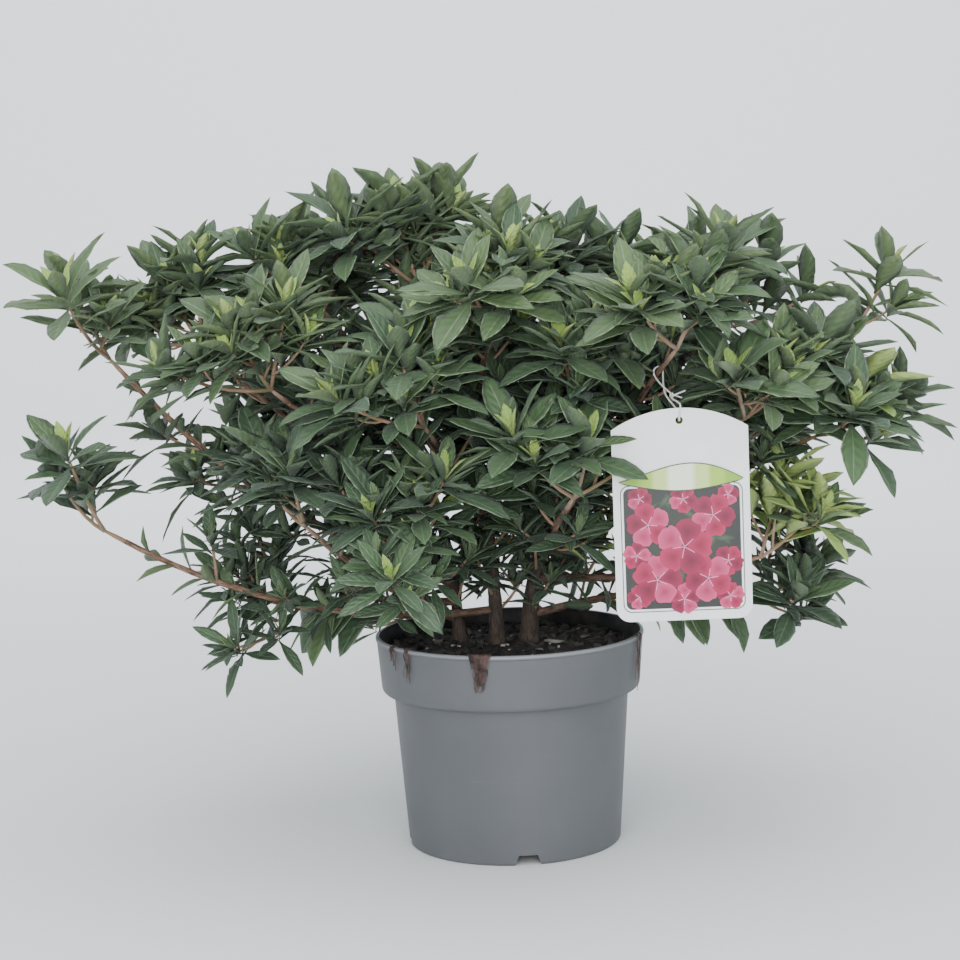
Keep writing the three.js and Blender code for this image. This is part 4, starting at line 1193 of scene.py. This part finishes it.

# Leaf colours, all of them the waxy evergreen leaf of an azalea in autumn: dark and mid green old
# leaves, given out by each spray's place as painted shade and painted light, the paler new leaves
# of the last season and yellow-green tips. Upper sides have a soft shine from the wax, the
# undersides are dull and pale, and the side veins leave shallow quilting. Each kind has a deep and
# a fresh green, and the colours of its rib and edge and of its underside
LEAF_KINDS = {
    "dark": ("30432f", "3d5338", "8a9c84", "485840"),
    "mid": ("384e36", "4a633f", "95a788", "556849"),
    "light": ("455a3c", "566e44", "9dae88", "637550"),
    "young": ("7a9844", "9cb85a", "c2d092", "9aae66"),
}
mass_nodes = ["leaves_" + mass["name"] for mass in masses]
for kind, (deep, fresh, rib_colour, under_colour) in LEAF_KINDS.items():
    rows = np.array(sprays[kind])
    foot, along, face = rows[:, 0:3], rows[:, 3:6], rows[:, 6:9]
    length, width, fold, bend, twist, tones = rows[:, 9:15].T
    across = np.cross(face, along)
    v = STATIONS[None, :]
    angle = bend[:, None] * v
    forward = length[:, None] * np.sin(angle) / bend[:, None]
    down = length[:, None] * (1 - np.cos(angle)) / bend[:, None]
    spine = foot[:, None] + along[:, None] * forward[..., None] - face[:, None] * down[..., None]
    normal = face[:, None] * np.cos(angle)[..., None] + along[:, None] * np.sin(angle)[..., None]
    spin = (twist[:, None] * v)[..., None]
    sideways = across[:, None] * np.cos(spin) + normal * np.sin(spin)
    normal = normal * np.cos(spin) - across[:, None] * np.sin(spin)
    half = HALF_WIDTHS[None, :] * width[:, None] / 2
    out = np.abs(COLUMNS)[None, None, :]
    lift = half[..., None] * (fold[:, None, None] * out + CUPPING * np.sin(np.pi * out))
    wave = EDGE_WAVE * half[..., None] * out * np.sin(11 * v[..., None] + 6 * tones[:, None, None])
    top = (
        spine[:, :, None]
        + sideways[:, :, None] * (half[..., None] * COLUMNS)[..., None]
        + normal[:, :, None] * (lift + 3 * wave)[..., None])
    under = spine - normal * (BLADE_DEPTH - DEPTH_LOSS * v[..., None])
    rings = np.concatenate([top, under[:, :, None]], axis=2).reshape(len(rows), -1, 3)
    point = (
        foot + along * (length * np.sin(bend) / bend)[:, None]
        - face * (length * (1 - np.cos(bend)) / bend)[:, None])
    places = np.concatenate([rings, point[:, None]], axis=1)
    offset = (np.arange(len(rows)) * LEAF_POINTS)[:, None, None]
    quads = (LEAF_QUADS[None] + offset).reshape(-1, 4)
    triangles = (LEAF_TRIANGLES[None] + offset).reshape(-1, 3)
    corners = np.vstack([
        np.tile(LEAF_QUAD_UV, (len(rows), 1)), np.tile(LEAF_TRIANGLE_UV, (len(rows), 1))])

    blade, shader = new_material(f"waxy_leaf_{kind}", Roughness=0.55, IOR=1.45)
    shader.inputs["Sheen Weight"].default_value = 0.14
    shader.inputs["Sheen Tint"].default_value = linear("e8eef2")
    spot = add_node(blade, "ShaderNodeSeparateXYZ", links={
        "Vector": add_node(blade, "ShaderNodeUVMap", uv_map="blade").outputs[0]})
    tone = add_node(blade, "ShaderNodeAttribute", attribute_name="tone").outputs["Fac"]
    place = add_node(blade, "ShaderNodeTexCoord").outputs["Object"]
    mottle = add_node(blade, "ShaderNodeTexNoise", {"Scale": 130, "Detail": 4}, {"Vector": place})
    mixed = add_node(
        blade, "ShaderNodeMath", {1: 0.45}, {0: mottle.outputs[0], 2: tone},
        operation="MULTIPLY_ADD")
    depth = add_node(
        blade, "ShaderNodeMapRange", {"From Min": 0.15, "From Max": 1.15},
        {"Value": mixed.outputs[0]})
    flesh = add_node(
        blade, "ShaderNodeMix", {6: linear(deep), 7: linear(fresh)}, {0: depth.outputs[0]},
        data_type="RGBA")
    from_rib = add_node(
        blade, "ShaderNodeMath", {1: 0.5}, {0: spot.outputs["X"]}, operation="SUBTRACT")
    off_rib = add_node(
        blade, "ShaderNodeMath", links={0: from_rib.outputs[0]}, operation="ABSOLUTE")
    rib = add_node(
        blade, "ShaderNodeMapRange", {"From Min": 0.045, "From Max": 0.01, "To Max": 0.30},
        {"Value": off_rib.outputs[0]})
    rim = add_node(
        blade, "ShaderNodeMapRange", {"From Min": 0.42, "From Max": 0.48, "To Max": 0.85},
        {"Value": off_rib.outputs[0]})
    ribbed = add_node(
        blade, "ShaderNodeMix", {7: linear(rib_colour)}, {0: rib.outputs[0], 6: flesh.outputs[2]},
        data_type="RGBA")
    edged = add_node(
        blade, "ShaderNodeMix", {7: linear(rib_colour)}, {0: rim.outputs[0], 6: ribbed.outputs[2]},
        data_type="RGBA")
    underside = add_node(
        blade, "ShaderNodeMath", {1: 1.5}, {0: spot.outputs["X"]}, operation="GREATER_THAN")
    whole = add_node(
        blade, "ShaderNodeMix", {7: linear(under_colour)},
        {0: underside.outputs[0], 6: edged.outputs[2]}, data_type="RGBA")
    blade.node_tree.links.new(whole.outputs[2], shader.inputs["Base Color"])
    slanted = add_node(
        blade, "ShaderNodeMath", {1: -0.45}, {0: off_rib.outputs[0], 2: spot.outputs["Y"]},
        operation="MULTIPLY_ADD")
    vein_wave = add_node(
        blade, "ShaderNodeMath", {1: 44.0}, {0: slanted.outputs[0]}, operation="MULTIPLY")
    veins = add_node(blade, "ShaderNodeMath", links={0: vein_wave.outputs[0]}, operation="SINE")
    quilting = add_node(
        blade, "ShaderNodeBump", {"Strength": 0.35, "Distance": 0.0004},
        {"Height": veins.outputs[0]})
    blade.node_tree.links.new(quilting.outputs[0], shader.inputs["Normal"])
    spray = mesh_piece(
        f"leaves_{kind}_spray", places.reshape(-1, 3), quads, triangles, blade,
        np.repeat(tones, LEAF_POINTS), corners)
    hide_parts(*mass_nodes)


# The picture card
#
# A die-cut card of white polypropylene sheet with an arched head, punched for its string and
# printed with pink blossoms over a dark ground and a plain green leaf-shaped band.

CARD_WIDTH = 88
CARD_HEIGHT = 138
CARD_SHOULDER = 125
CARD_CORNER = 9
CARD_THICKNESS = 0.8
HOLE_RADIUS = 2.4
HOLE_DROP = 8
CARD_AT = (114, -136, 179)
CARD_TURN = -0.6
PICTURE = (-38.5, 7, 38.5, 88)


def arc(centre, radius, start, end, steps):
    return [(centre[0] + radius * math.cos(math.radians(start + (end - start) * k / steps)),
             centre[1] + radius * math.sin(math.radians(start + (end - start) * k / steps)))
            for k in range(steps + 1)]


def on_card(points, height):
    """Points of the card's own plane as points of the plant's frame, a height off its front."""
    turn = math.radians(CARD_TURN)
    return [(CARD_AT[0] + x * math.cos(turn) + z * math.sin(turn),
             CARD_AT[1] - CARD_THICKNESS - height,
             CARD_AT[2] + z * math.cos(turn) - x * math.sin(turn)) for x, z in points]


half = CARD_WIDTH / 2
arch = CARD_HEIGHT - CARD_SHOULDER
arch_radius = (half * half + arch * arch) / (2 * arch)
arch_angle = math.degrees(math.asin(half / arch_radius))
outline = arc((half - CARD_CORNER, CARD_CORNER), CARD_CORNER, -90, 0, 10)
outline += arc((0, CARD_HEIGHT - arch_radius), arch_radius, 90 - arch_angle, 90 + arch_angle, 40)
outline += arc((-half + CARD_CORNER, CARD_CORNER), CARD_CORNER, 180, 270, 10)
hole = arc((0, CARD_HEIGHT - HOLE_DROP), HOLE_RADIUS, 0, 360 - 15, 23)
curve = bpy.data.curves.new("card_outline", "CURVE")
curve.dimensions = "2D"
curve.fill_mode = "BOTH"
curve.extrude = CARD_THICKNESS / 2 * MM
for ring in (outline, hole):
    spline = curve.splines.new("POLY")
    spline.points.add(len(ring) - 1)
    for spline_point, (x, z) in zip(spline.points, ring):
        spline_point.co = (x * MM, z * MM, 0, 1)
    spline.use_cyclic_u = True
card = new_object("picture_card_body", curve)
only(card)
bpy.ops.object.convert(target="MESH")
card = bpy.context.object
stand = Matrix.Rotation(math.radians(CARD_TURN), 4, "Y") @ Matrix.Rotation(math.radians(90), 4, "X")
shift = Matrix.Translation(Vector((CARD_AT[0], CARD_AT[1] - CARD_THICKNESS / 2, CARD_AT[2])) * MM)
card.data.transform(shift @ stand)
weld(card)
bpy.ops.object.shade_smooth_by_angle(angle=math.radians(30))

# White polypropylene card stock: smooth, slightly shiny, with the faint ripple of rolled sheet
card_white, shader = new_material("rolled_polypropylene_card", Roughness=0.32, IOR=1.49)
place = add_node(card_white, "ShaderNodeTexCoord").outputs["Object"]
ripple = add_node(card_white, "ShaderNodeTexNoise", {"Scale": 38, "Detail": 2}, {"Vector": place})
sheet_colour = add_node(
    card_white, "ShaderNodeValToRGB", links={"Fac": ripple.outputs[0]},
    stops=[(0.3, "eceeef"), (0.7, "f4f5f5")])
card_white.node_tree.links.new(sheet_colour.outputs[0], shader.inputs["Base Color"])
ripple_relief = add_node(
    card_white, "ShaderNodeBump", {"Strength": 0.15, "Distance": 0.0008},
    {"Height": ripple.outputs[0]})
card_white.node_tree.links.new(ripple_relief.outputs[0], shader.inputs["Normal"])
card.data.materials.append(card_white)
card.name = "picture_card_sheet"
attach(card, "root")
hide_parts("picture_card")

# The print: inks laid one over another as films a few hundredths of a millimetre thick. Each pair
# of inks is for the middle of a shape and for its edge
FRAME_INKS = ("2b2f2e", "2b2f2e")
MARGIN_INKS = ("eef0ef", "eef0ef")
GROUND_INKS = ("33392f", "242826")
STROKE_INKS = ("435a3c", "2b3b30")
STROKES = 46
STROKE_INSET = 9
STROKE_SHAPE = (
    (-1, 0), (-0.5, 1.5), (0, 2.1), (0.5, 1.6), (1, 0), (0.5, -1.6), (0, -2.1), (-0.5, -1.5))
PETAL_INKS = [("7e0030", "b01650"), ("640028", "920a42"), ("a01a4c", "ca4676")]
THROAT_INKS = ("6c0030", "881240")
STAMEN_INKS = ("dc8fae", "dc8fae")
# Place, size and turn of each bloom, the smallest and furthest back first
BLOOMS = [
    (-27, 80, 8, 70), (30, 81, 7, 12), (-29, 16, 8, 35), (1, 79, 9, 58), (-30, 43, 9, 80),
    (30, 15, 9, 20), (29, 38, 10, 50), (0, 14, 10, 15), (-22, 63, 14, 30), (20, 68, 14, 63),
    (-17, 27, 16, 10), (16, 27, 15, 44), (1, 48, 18, 5),
]
BAND_HALF_LENGTH = 40
BAND_HEIGHT = 91
BAND_COLOURS = ("e8eed6", "c2d882", "9dc142", "86b232")
BAND_EDGE_COLOUR = "2f3a33"
ink_places, ink_faces, ink_colours = [], [], []


def ink(points, height, colours):
    """A flat film of ink: a fan from its middle, with a colour for its middle and its edge."""
    start = len(ink_places)
    middle = (sum(p[0] for p in points) / len(points), sum(p[1] for p in points) / len(points))
    ink_places.extend(on_card([middle, *points], height))
    ink_faces.extend(
        (start, start + 1 + k, start + 1 + (k + 1) % len(points)) for k in range(len(points)))
    ink_colours.extend([linear(colours[0])] + [linear(colours[1])] * len(points))


def rounded_box(x0, z0, x1, z1, corner, steps=6):
    return (arc((x1 - corner, z0 + corner), corner, -90, 0, steps)
            + arc((x1 - corner, z1 - corner), corner, 0, 90, steps)
            + arc((x0 + corner, z1 - corner), corner, 90, 180, steps)
            + arc((x0 + corner, z0 + corner), corner, 180, 270, steps))


x0, z0, x1, z1 = PICTURE
ink(rounded_box(x0 - 1.0, z0 - 1.0, x1 + 1.0, z1 + 1.0, 5.5), 0.03, FRAME_INKS)
ink(rounded_box(x0 - 0.4, z0 - 0.4, x1 + 0.4, z1 + 0.4, 5.0), 0.05, MARGIN_INKS)
ink(rounded_box(x0 + 1.0, z0 + 1.0, x1 - 1.0, z1 - 1.0, 4.0), 0.07, GROUND_INKS)
draw = seeded(77)
for stroke in range(STROKES):
    x = x0 + STROKE_INSET + (x1 - x0 - 2 * STROKE_INSET) * draw()
    z = z0 + STROKE_INSET + (z1 - z0 - 2 * STROKE_INSET) * draw()
    turn, long = draw() * 2 * math.pi, 5 + 3 * draw()
    leaf = [(x + long * s * math.cos(turn) - w * math.sin(turn),
             z + long * s * math.sin(turn) + w * math.cos(turn)) for s, w in STROKE_SHAPE]
    ink(leaf, 0.08 + 0.0006 * stroke, STROKE_INKS)
for number, (x, z, size, turn) in enumerate(BLOOMS):
    level = 0.12 + 0.03 * number
    for petal in range(5):
        lean = math.radians(turn + 72 * petal)
        ruffle = []
        for k in range(22):
            a = 2 * math.pi * k / 22
            long = 0.5 + 0.5 * math.cos(a)
            radius = size * (0.10 + 0.90 * long)
            wide = size * 0.56 * math.sin(a) * (0.45 + 0.65 * long)
            wave = 1 + 0.045 * math.sin(5 * a + petal + number) + 0.03 * math.sin(9 * a + 2 * petal)
            radius *= wave
            ruffle.append((x + radius * math.cos(lean) - wide * math.sin(lean),
                           z + radius * math.sin(lean) + wide * math.cos(lean)))
        ink(ruffle, level + 0.004 * petal, PETAL_INKS[(petal + number) % 3])
    ink(arc((x, z), size * 0.13, 0, 330, 11), level + 0.024, THROAT_INKS)
    for stamen in range(5):
        lean = math.radians(turn + 36 + 72 * stamen)
        tip = (x + size * 0.42 * math.cos(lean), z + size * 0.42 * math.sin(lean))
        side = (-0.25 * math.sin(lean), 0.25 * math.cos(lean))
        ink([(x + side[0], z + side[1]), (tip[0] + side[0], tip[1] + side[1]),
             (tip[0] - side[0], tip[1] - side[1]), (x - side[0], z - side[1])],
            level + 0.026, STAMEN_INKS)

# The band over the picture's head: a slim leaf shape, white in its middle and green at its ends,
# over a dark one that is a little larger and shows as its edge
band_top, band_foot = [], []
for t in np.linspace(0, 1, 25):
    x = BAND_HALF_LENGTH * (2 * t - 1)
    band_top.append((x, BAND_HEIGHT + 15 * math.sin(math.pi * t) * (0.4 + 0.6 * t)))
    band_foot.append((x, BAND_HEIGHT - 6 * math.sin(math.pi * t)))
for edge, level, codes in ((0.7, 0.45, (BAND_EDGE_COLOUR,) * 4), (0.0, 0.47, BAND_COLOURS)):
    strip_top = [(x, z + edge) for x, z in band_top]
    strip_foot = [band_top[0], *((x, z - edge) for x, z in band_foot[1:-1]), band_top[-1]]
    start = len(ink_places)
    for upper, lower in zip(strip_top, strip_foot):
        ink_places.extend(on_card([upper, lower], level))
        step = min(3, int(abs(upper[0]) / BAND_HALF_LENGTH * 4))
        ink_colours.extend([linear(codes[step])] * 2)
    for k in range(len(strip_top) - 1):
        a = start + 2 * k
        ink_faces += [(a, a + 1, a + 3), (a, a + 3, a + 2)]

# Offset printing ink: colour laid flat, with the fine rosette of its dots and a hard gloss
inks_printed, shader = new_material("offset_printing_ink", Roughness=0.3, IOR=1.5)
ink_colour = add_node(inks_printed, "ShaderNodeVertexColor", layer_name="ink")
place = add_node(inks_printed, "ShaderNodeTexCoord").outputs["Object"]
dots = add_node(inks_printed, "ShaderNodeTexVoronoi", {"Scale": 2200}, {"Vector": place})
dot_mask = add_node(
    inks_printed, "ShaderNodeMapRange", {"To Min": 0.92, "To Max": 1.08},
    {"Value": dots.outputs[0]})
printed = add_node(
    inks_printed, "ShaderNodeVectorMath",
    links={0: ink_colour.outputs[0], "Scale": dot_mask.outputs[0]}, operation="SCALE")
inks_printed.node_tree.links.new(printed.outputs[0], shader.inputs["Base Color"])
print_piece = mesh_piece("card_picture_print", ink_places, [], ink_faces, inks_printed)
layer = print_piece.data.color_attributes.new("ink", "FLOAT_COLOR", "POINT")
layer.data.foreach_set("color", np.array(ink_colours, dtype=np.float32).ravel())
print_piece.data.shade_flat()


# The string
#
# A doubled length of white cotton twine: it goes over the bough and through the card's hole, and
# its two ends are tied in a knot half way down and left loose.

STRING_RADIUS = 0.55
STRING_STEPS = 260
PLY_RADIUS = 0.40
KNOT_PLY_RADIUS = 0.5
KNOT_TURNS = 3.4
KNOT_STEPS = 60
# How far along its bough the string hangs
STRING_SHARE = 0.9
BOUGH_STEPS = 1000


def through(points, count):
    """A smooth line through points, spaced evenly along it."""
    points = [np.asarray(p, dtype=float) for p in points]
    points = [2 * points[0] - points[1], *points, 2 * points[-1] - points[-2]]
    path = []
    for i in range(1, len(points) - 2):
        p = points[i - 1:i + 3]
        n = [0.0]
        for a, b in zip(p, p[1:]):
            n.append(n[-1] + np.linalg.norm(b - a) ** 0.5)
        for t in np.linspace(n[1], n[2], 24, endpoint=False):
            a = [(p[k] * (n[k + 1] - t) + p[k + 1] * (t - n[k])) / (n[k + 1] - n[k])
                 for k in range(3)]
            b = [(a[k] * (n[k + 2] - t) + a[k + 1] * (t - n[k])) / (n[k + 2] - n[k])
                 for k in range(2)]
            path.append((b[0] * (n[2] - t) + b[1] * (t - n[1])) / (n[2] - n[1]))
    path = np.array([*path, points[-2]])
    run = np.concatenate([[0], np.cumsum(np.linalg.norm(np.diff(path, axis=0), axis=1))])
    wanted = np.linspace(0, run[-1], count + 1)
    return np.stack([np.interp(wanted, run, path[:, k]) for k in range(3)], axis=1)


bough_points = evenly(lines["card_bough"], BOUGH_STEPS)[0]
loop_step = int(STRING_SHARE * BOUGH_STEPS)
over_bough = bough_points[loop_step]
bough_along = unit(bough_points[loop_step + 1] - bough_points[loop_step - 1])
across_bough = unit(np.cross(bough_along, UP))
loop_radius = bough_radius(STRING_SHARE) + STRING_RADIUS + 1.2
loop = [over_bough + across_bough * loop_radius * math.cos(math.radians(a))
        + UP * loop_radius * math.sin(math.radians(a)) for a in (-30, 30, 90, 150, 210)]
hole_height = CARD_HEIGHT - HOLE_DROP
hole_at = np.array([
    CARD_AT[0] + hole_height * math.sin(math.radians(CARD_TURN)),
    CARD_AT[1] - CARD_THICKNESS / 2,
    CARD_AT[2] + hole_height * math.cos(math.radians(CARD_TURN))])
knot_at = over_bough + (hole_at - over_bough) * 0.45
off = CARD_THICKNESS / 2 + STRING_RADIUS + 0.7
route = through([
    knot_at + (9, -1, -3), knot_at + (2.2, 0, 0), *loop, knot_at + (-1.5, 2, 0),
    hole_at + (-0.4, off + 0.7, HOLE_DROP / 2 + 1), hole_at + (0, off, 0.4), hole_at,
    hole_at + (0, -off, 0.4), hole_at + (0.4, -off, HOLE_DROP / 2 + 1),
    hole_at + (0.8, -off, HOLE_DROP + 2), knot_at + (2.4, -3.4, -2), knot_at + (11, -4, 2)],
    STRING_STEPS)
plies = []
for ply in range(2):
    phase = math.pi * ply
    sway = np.array([
        (0.26 * math.cos(phase + 1.5 * k), 0.10 * math.sin(phase + 2 * k),
         0.26 * math.sin(phase + 1.5 * k)) for k in range(len(route))])
    plies.append(tube(route + sway, np.full(len(route), PLY_RADIUS), 6))
knot_turns = np.linspace(0, KNOT_TURNS * 2 * math.pi, KNOT_STEPS)
knot_middle = knot_at + (2.3, -1.7, -1)
knot_path = np.stack([
    knot_middle[0] + 0.9 * np.sin(knot_turns * 0.5),
    knot_middle[1] + 1.5 * np.cos(knot_turns),
    knot_middle[2] + 1.2 * np.sin(knot_turns)], axis=1)
plies.append(tube(knot_path, np.full(KNOT_STEPS, KNOT_PLY_RADIUS), 6))

# Cotton twine: matt white, slightly soiled, with the short fuzz of spun fibre
cotton, shader = new_material("spun_cotton_twine", Roughness=0.9)
shader.inputs["Sheen Weight"].default_value = 0.4
place = add_node(cotton, "ShaderNodeTexCoord").outputs["Object"]
soiling = add_node(cotton, "ShaderNodeTexNoise", {"Scale": 300, "Detail": 3}, {"Vector": place})
cotton_colour = add_node(
    cotton, "ShaderNodeValToRGB", links={"Fac": soiling.outputs[0]},
    stops=[(0.35, "dcdad2"), (0.65, "f3f2ed")])
cotton.node_tree.links.new(cotton_colour.outputs[0], shader.inputs["Base Color"])
string = mesh_piece("card_string_twine", *joined(plies), cotton)
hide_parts("card_string")


# Floor, light and camera
#
# A pale floor that sweeps up all round the plant into a low round wall, soft light from above and
# in front as under an overcast sky, and the camera at the height and angle of the picture.

COVE_RADIUS = 3400
COVE_SWEEP = 1000
COVE_HEIGHT = 2600
# Name, place, what it points at, size in metres and power in watts
LAMPS = [
    ("sky_panel", (0.1, -0.4, 2.4), (0, 0, 0.2), 2.6, 39),
    ("front_panel", (-0.2, -2.7, 1.5), (0, 0, 0.3), 2.2, 56),
    ("backdrop_panel", (0, 1.9, 2.5), (0, 4.4, 0.9), 2.4, 82),
    ("fill_panel", (0.1, -3.0, 0.75), (0, 0, 0.3), 1.4, 30),
]
CAMERA_AT = (0, -1.6, 0.45)
CAMERA_BEARING = 0.63
CAMERA_DIP = 6.85
CAMERA_ROLL = -1.75
CAMERA_LENS = 85.9
SKY_COLOUR = "dfe6ec"
SKY_STRENGTH = 1.15

cove = [(0, 0), (COVE_RADIUS, 0)]
cove += [(COVE_RADIUS + COVE_SWEEP * math.sin(a), COVE_SWEEP * (1 - math.cos(a)))
         for a in np.linspace(0.1, math.pi / 2, 16)]
cove += [(COVE_RADIUS + COVE_SWEEP, COVE_HEIGHT)]
floor = spun("floor", cove, 128)
floor_mesh = floor.data
floor_mesh.shade_smooth()
floor_paint, shader = new_material("matt_pale_floor", Base_Color=linear("e9ebec"), Roughness=0.8)
floor_mesh.materials.append(floor_paint)

for name, at, aim, size, power in LAMPS:
    lamp = bpy.data.lights.new(name, "AREA")
    lamp.size = size
    lamp.energy = power
    lamp_object = bpy.data.objects.new(name, lamp)
    lamp_object.location = at
    lamp_object.visible_camera = False
    lamp_object.rotation_euler = (Vector(aim) - Vector(at)).to_track_quat("-Z", "Y").to_euler()
    bpy.context.collection.objects.link(lamp_object)

world = bpy.data.worlds.new("soft_sky")
world.use_nodes = True
world.node_tree.nodes["Background"].inputs["Color"].default_value = linear(SKY_COLOUR)
world.node_tree.nodes["Background"].inputs["Strength"].default_value = SKY_STRENGTH
bpy.context.scene.world = world

camera = bpy.data.objects.new("camera", bpy.data.cameras.new("camera"))
camera.data.lens = CAMERA_LENS
camera.data.sensor_width = 36
camera.data.clip_end = 50
camera.matrix_world = (
    Matrix.Translation(CAMERA_AT)
    @ Matrix.Rotation(math.radians(CAMERA_BEARING), 4, "Z")
    @ Matrix.Rotation(math.radians(90 - CAMERA_DIP), 4, "X")
    @ Matrix.Rotation(math.radians(CAMERA_ROLL), 4, "Z"))
bpy.context.collection.objects.link(camera)
bpy.context.scene.camera = camera
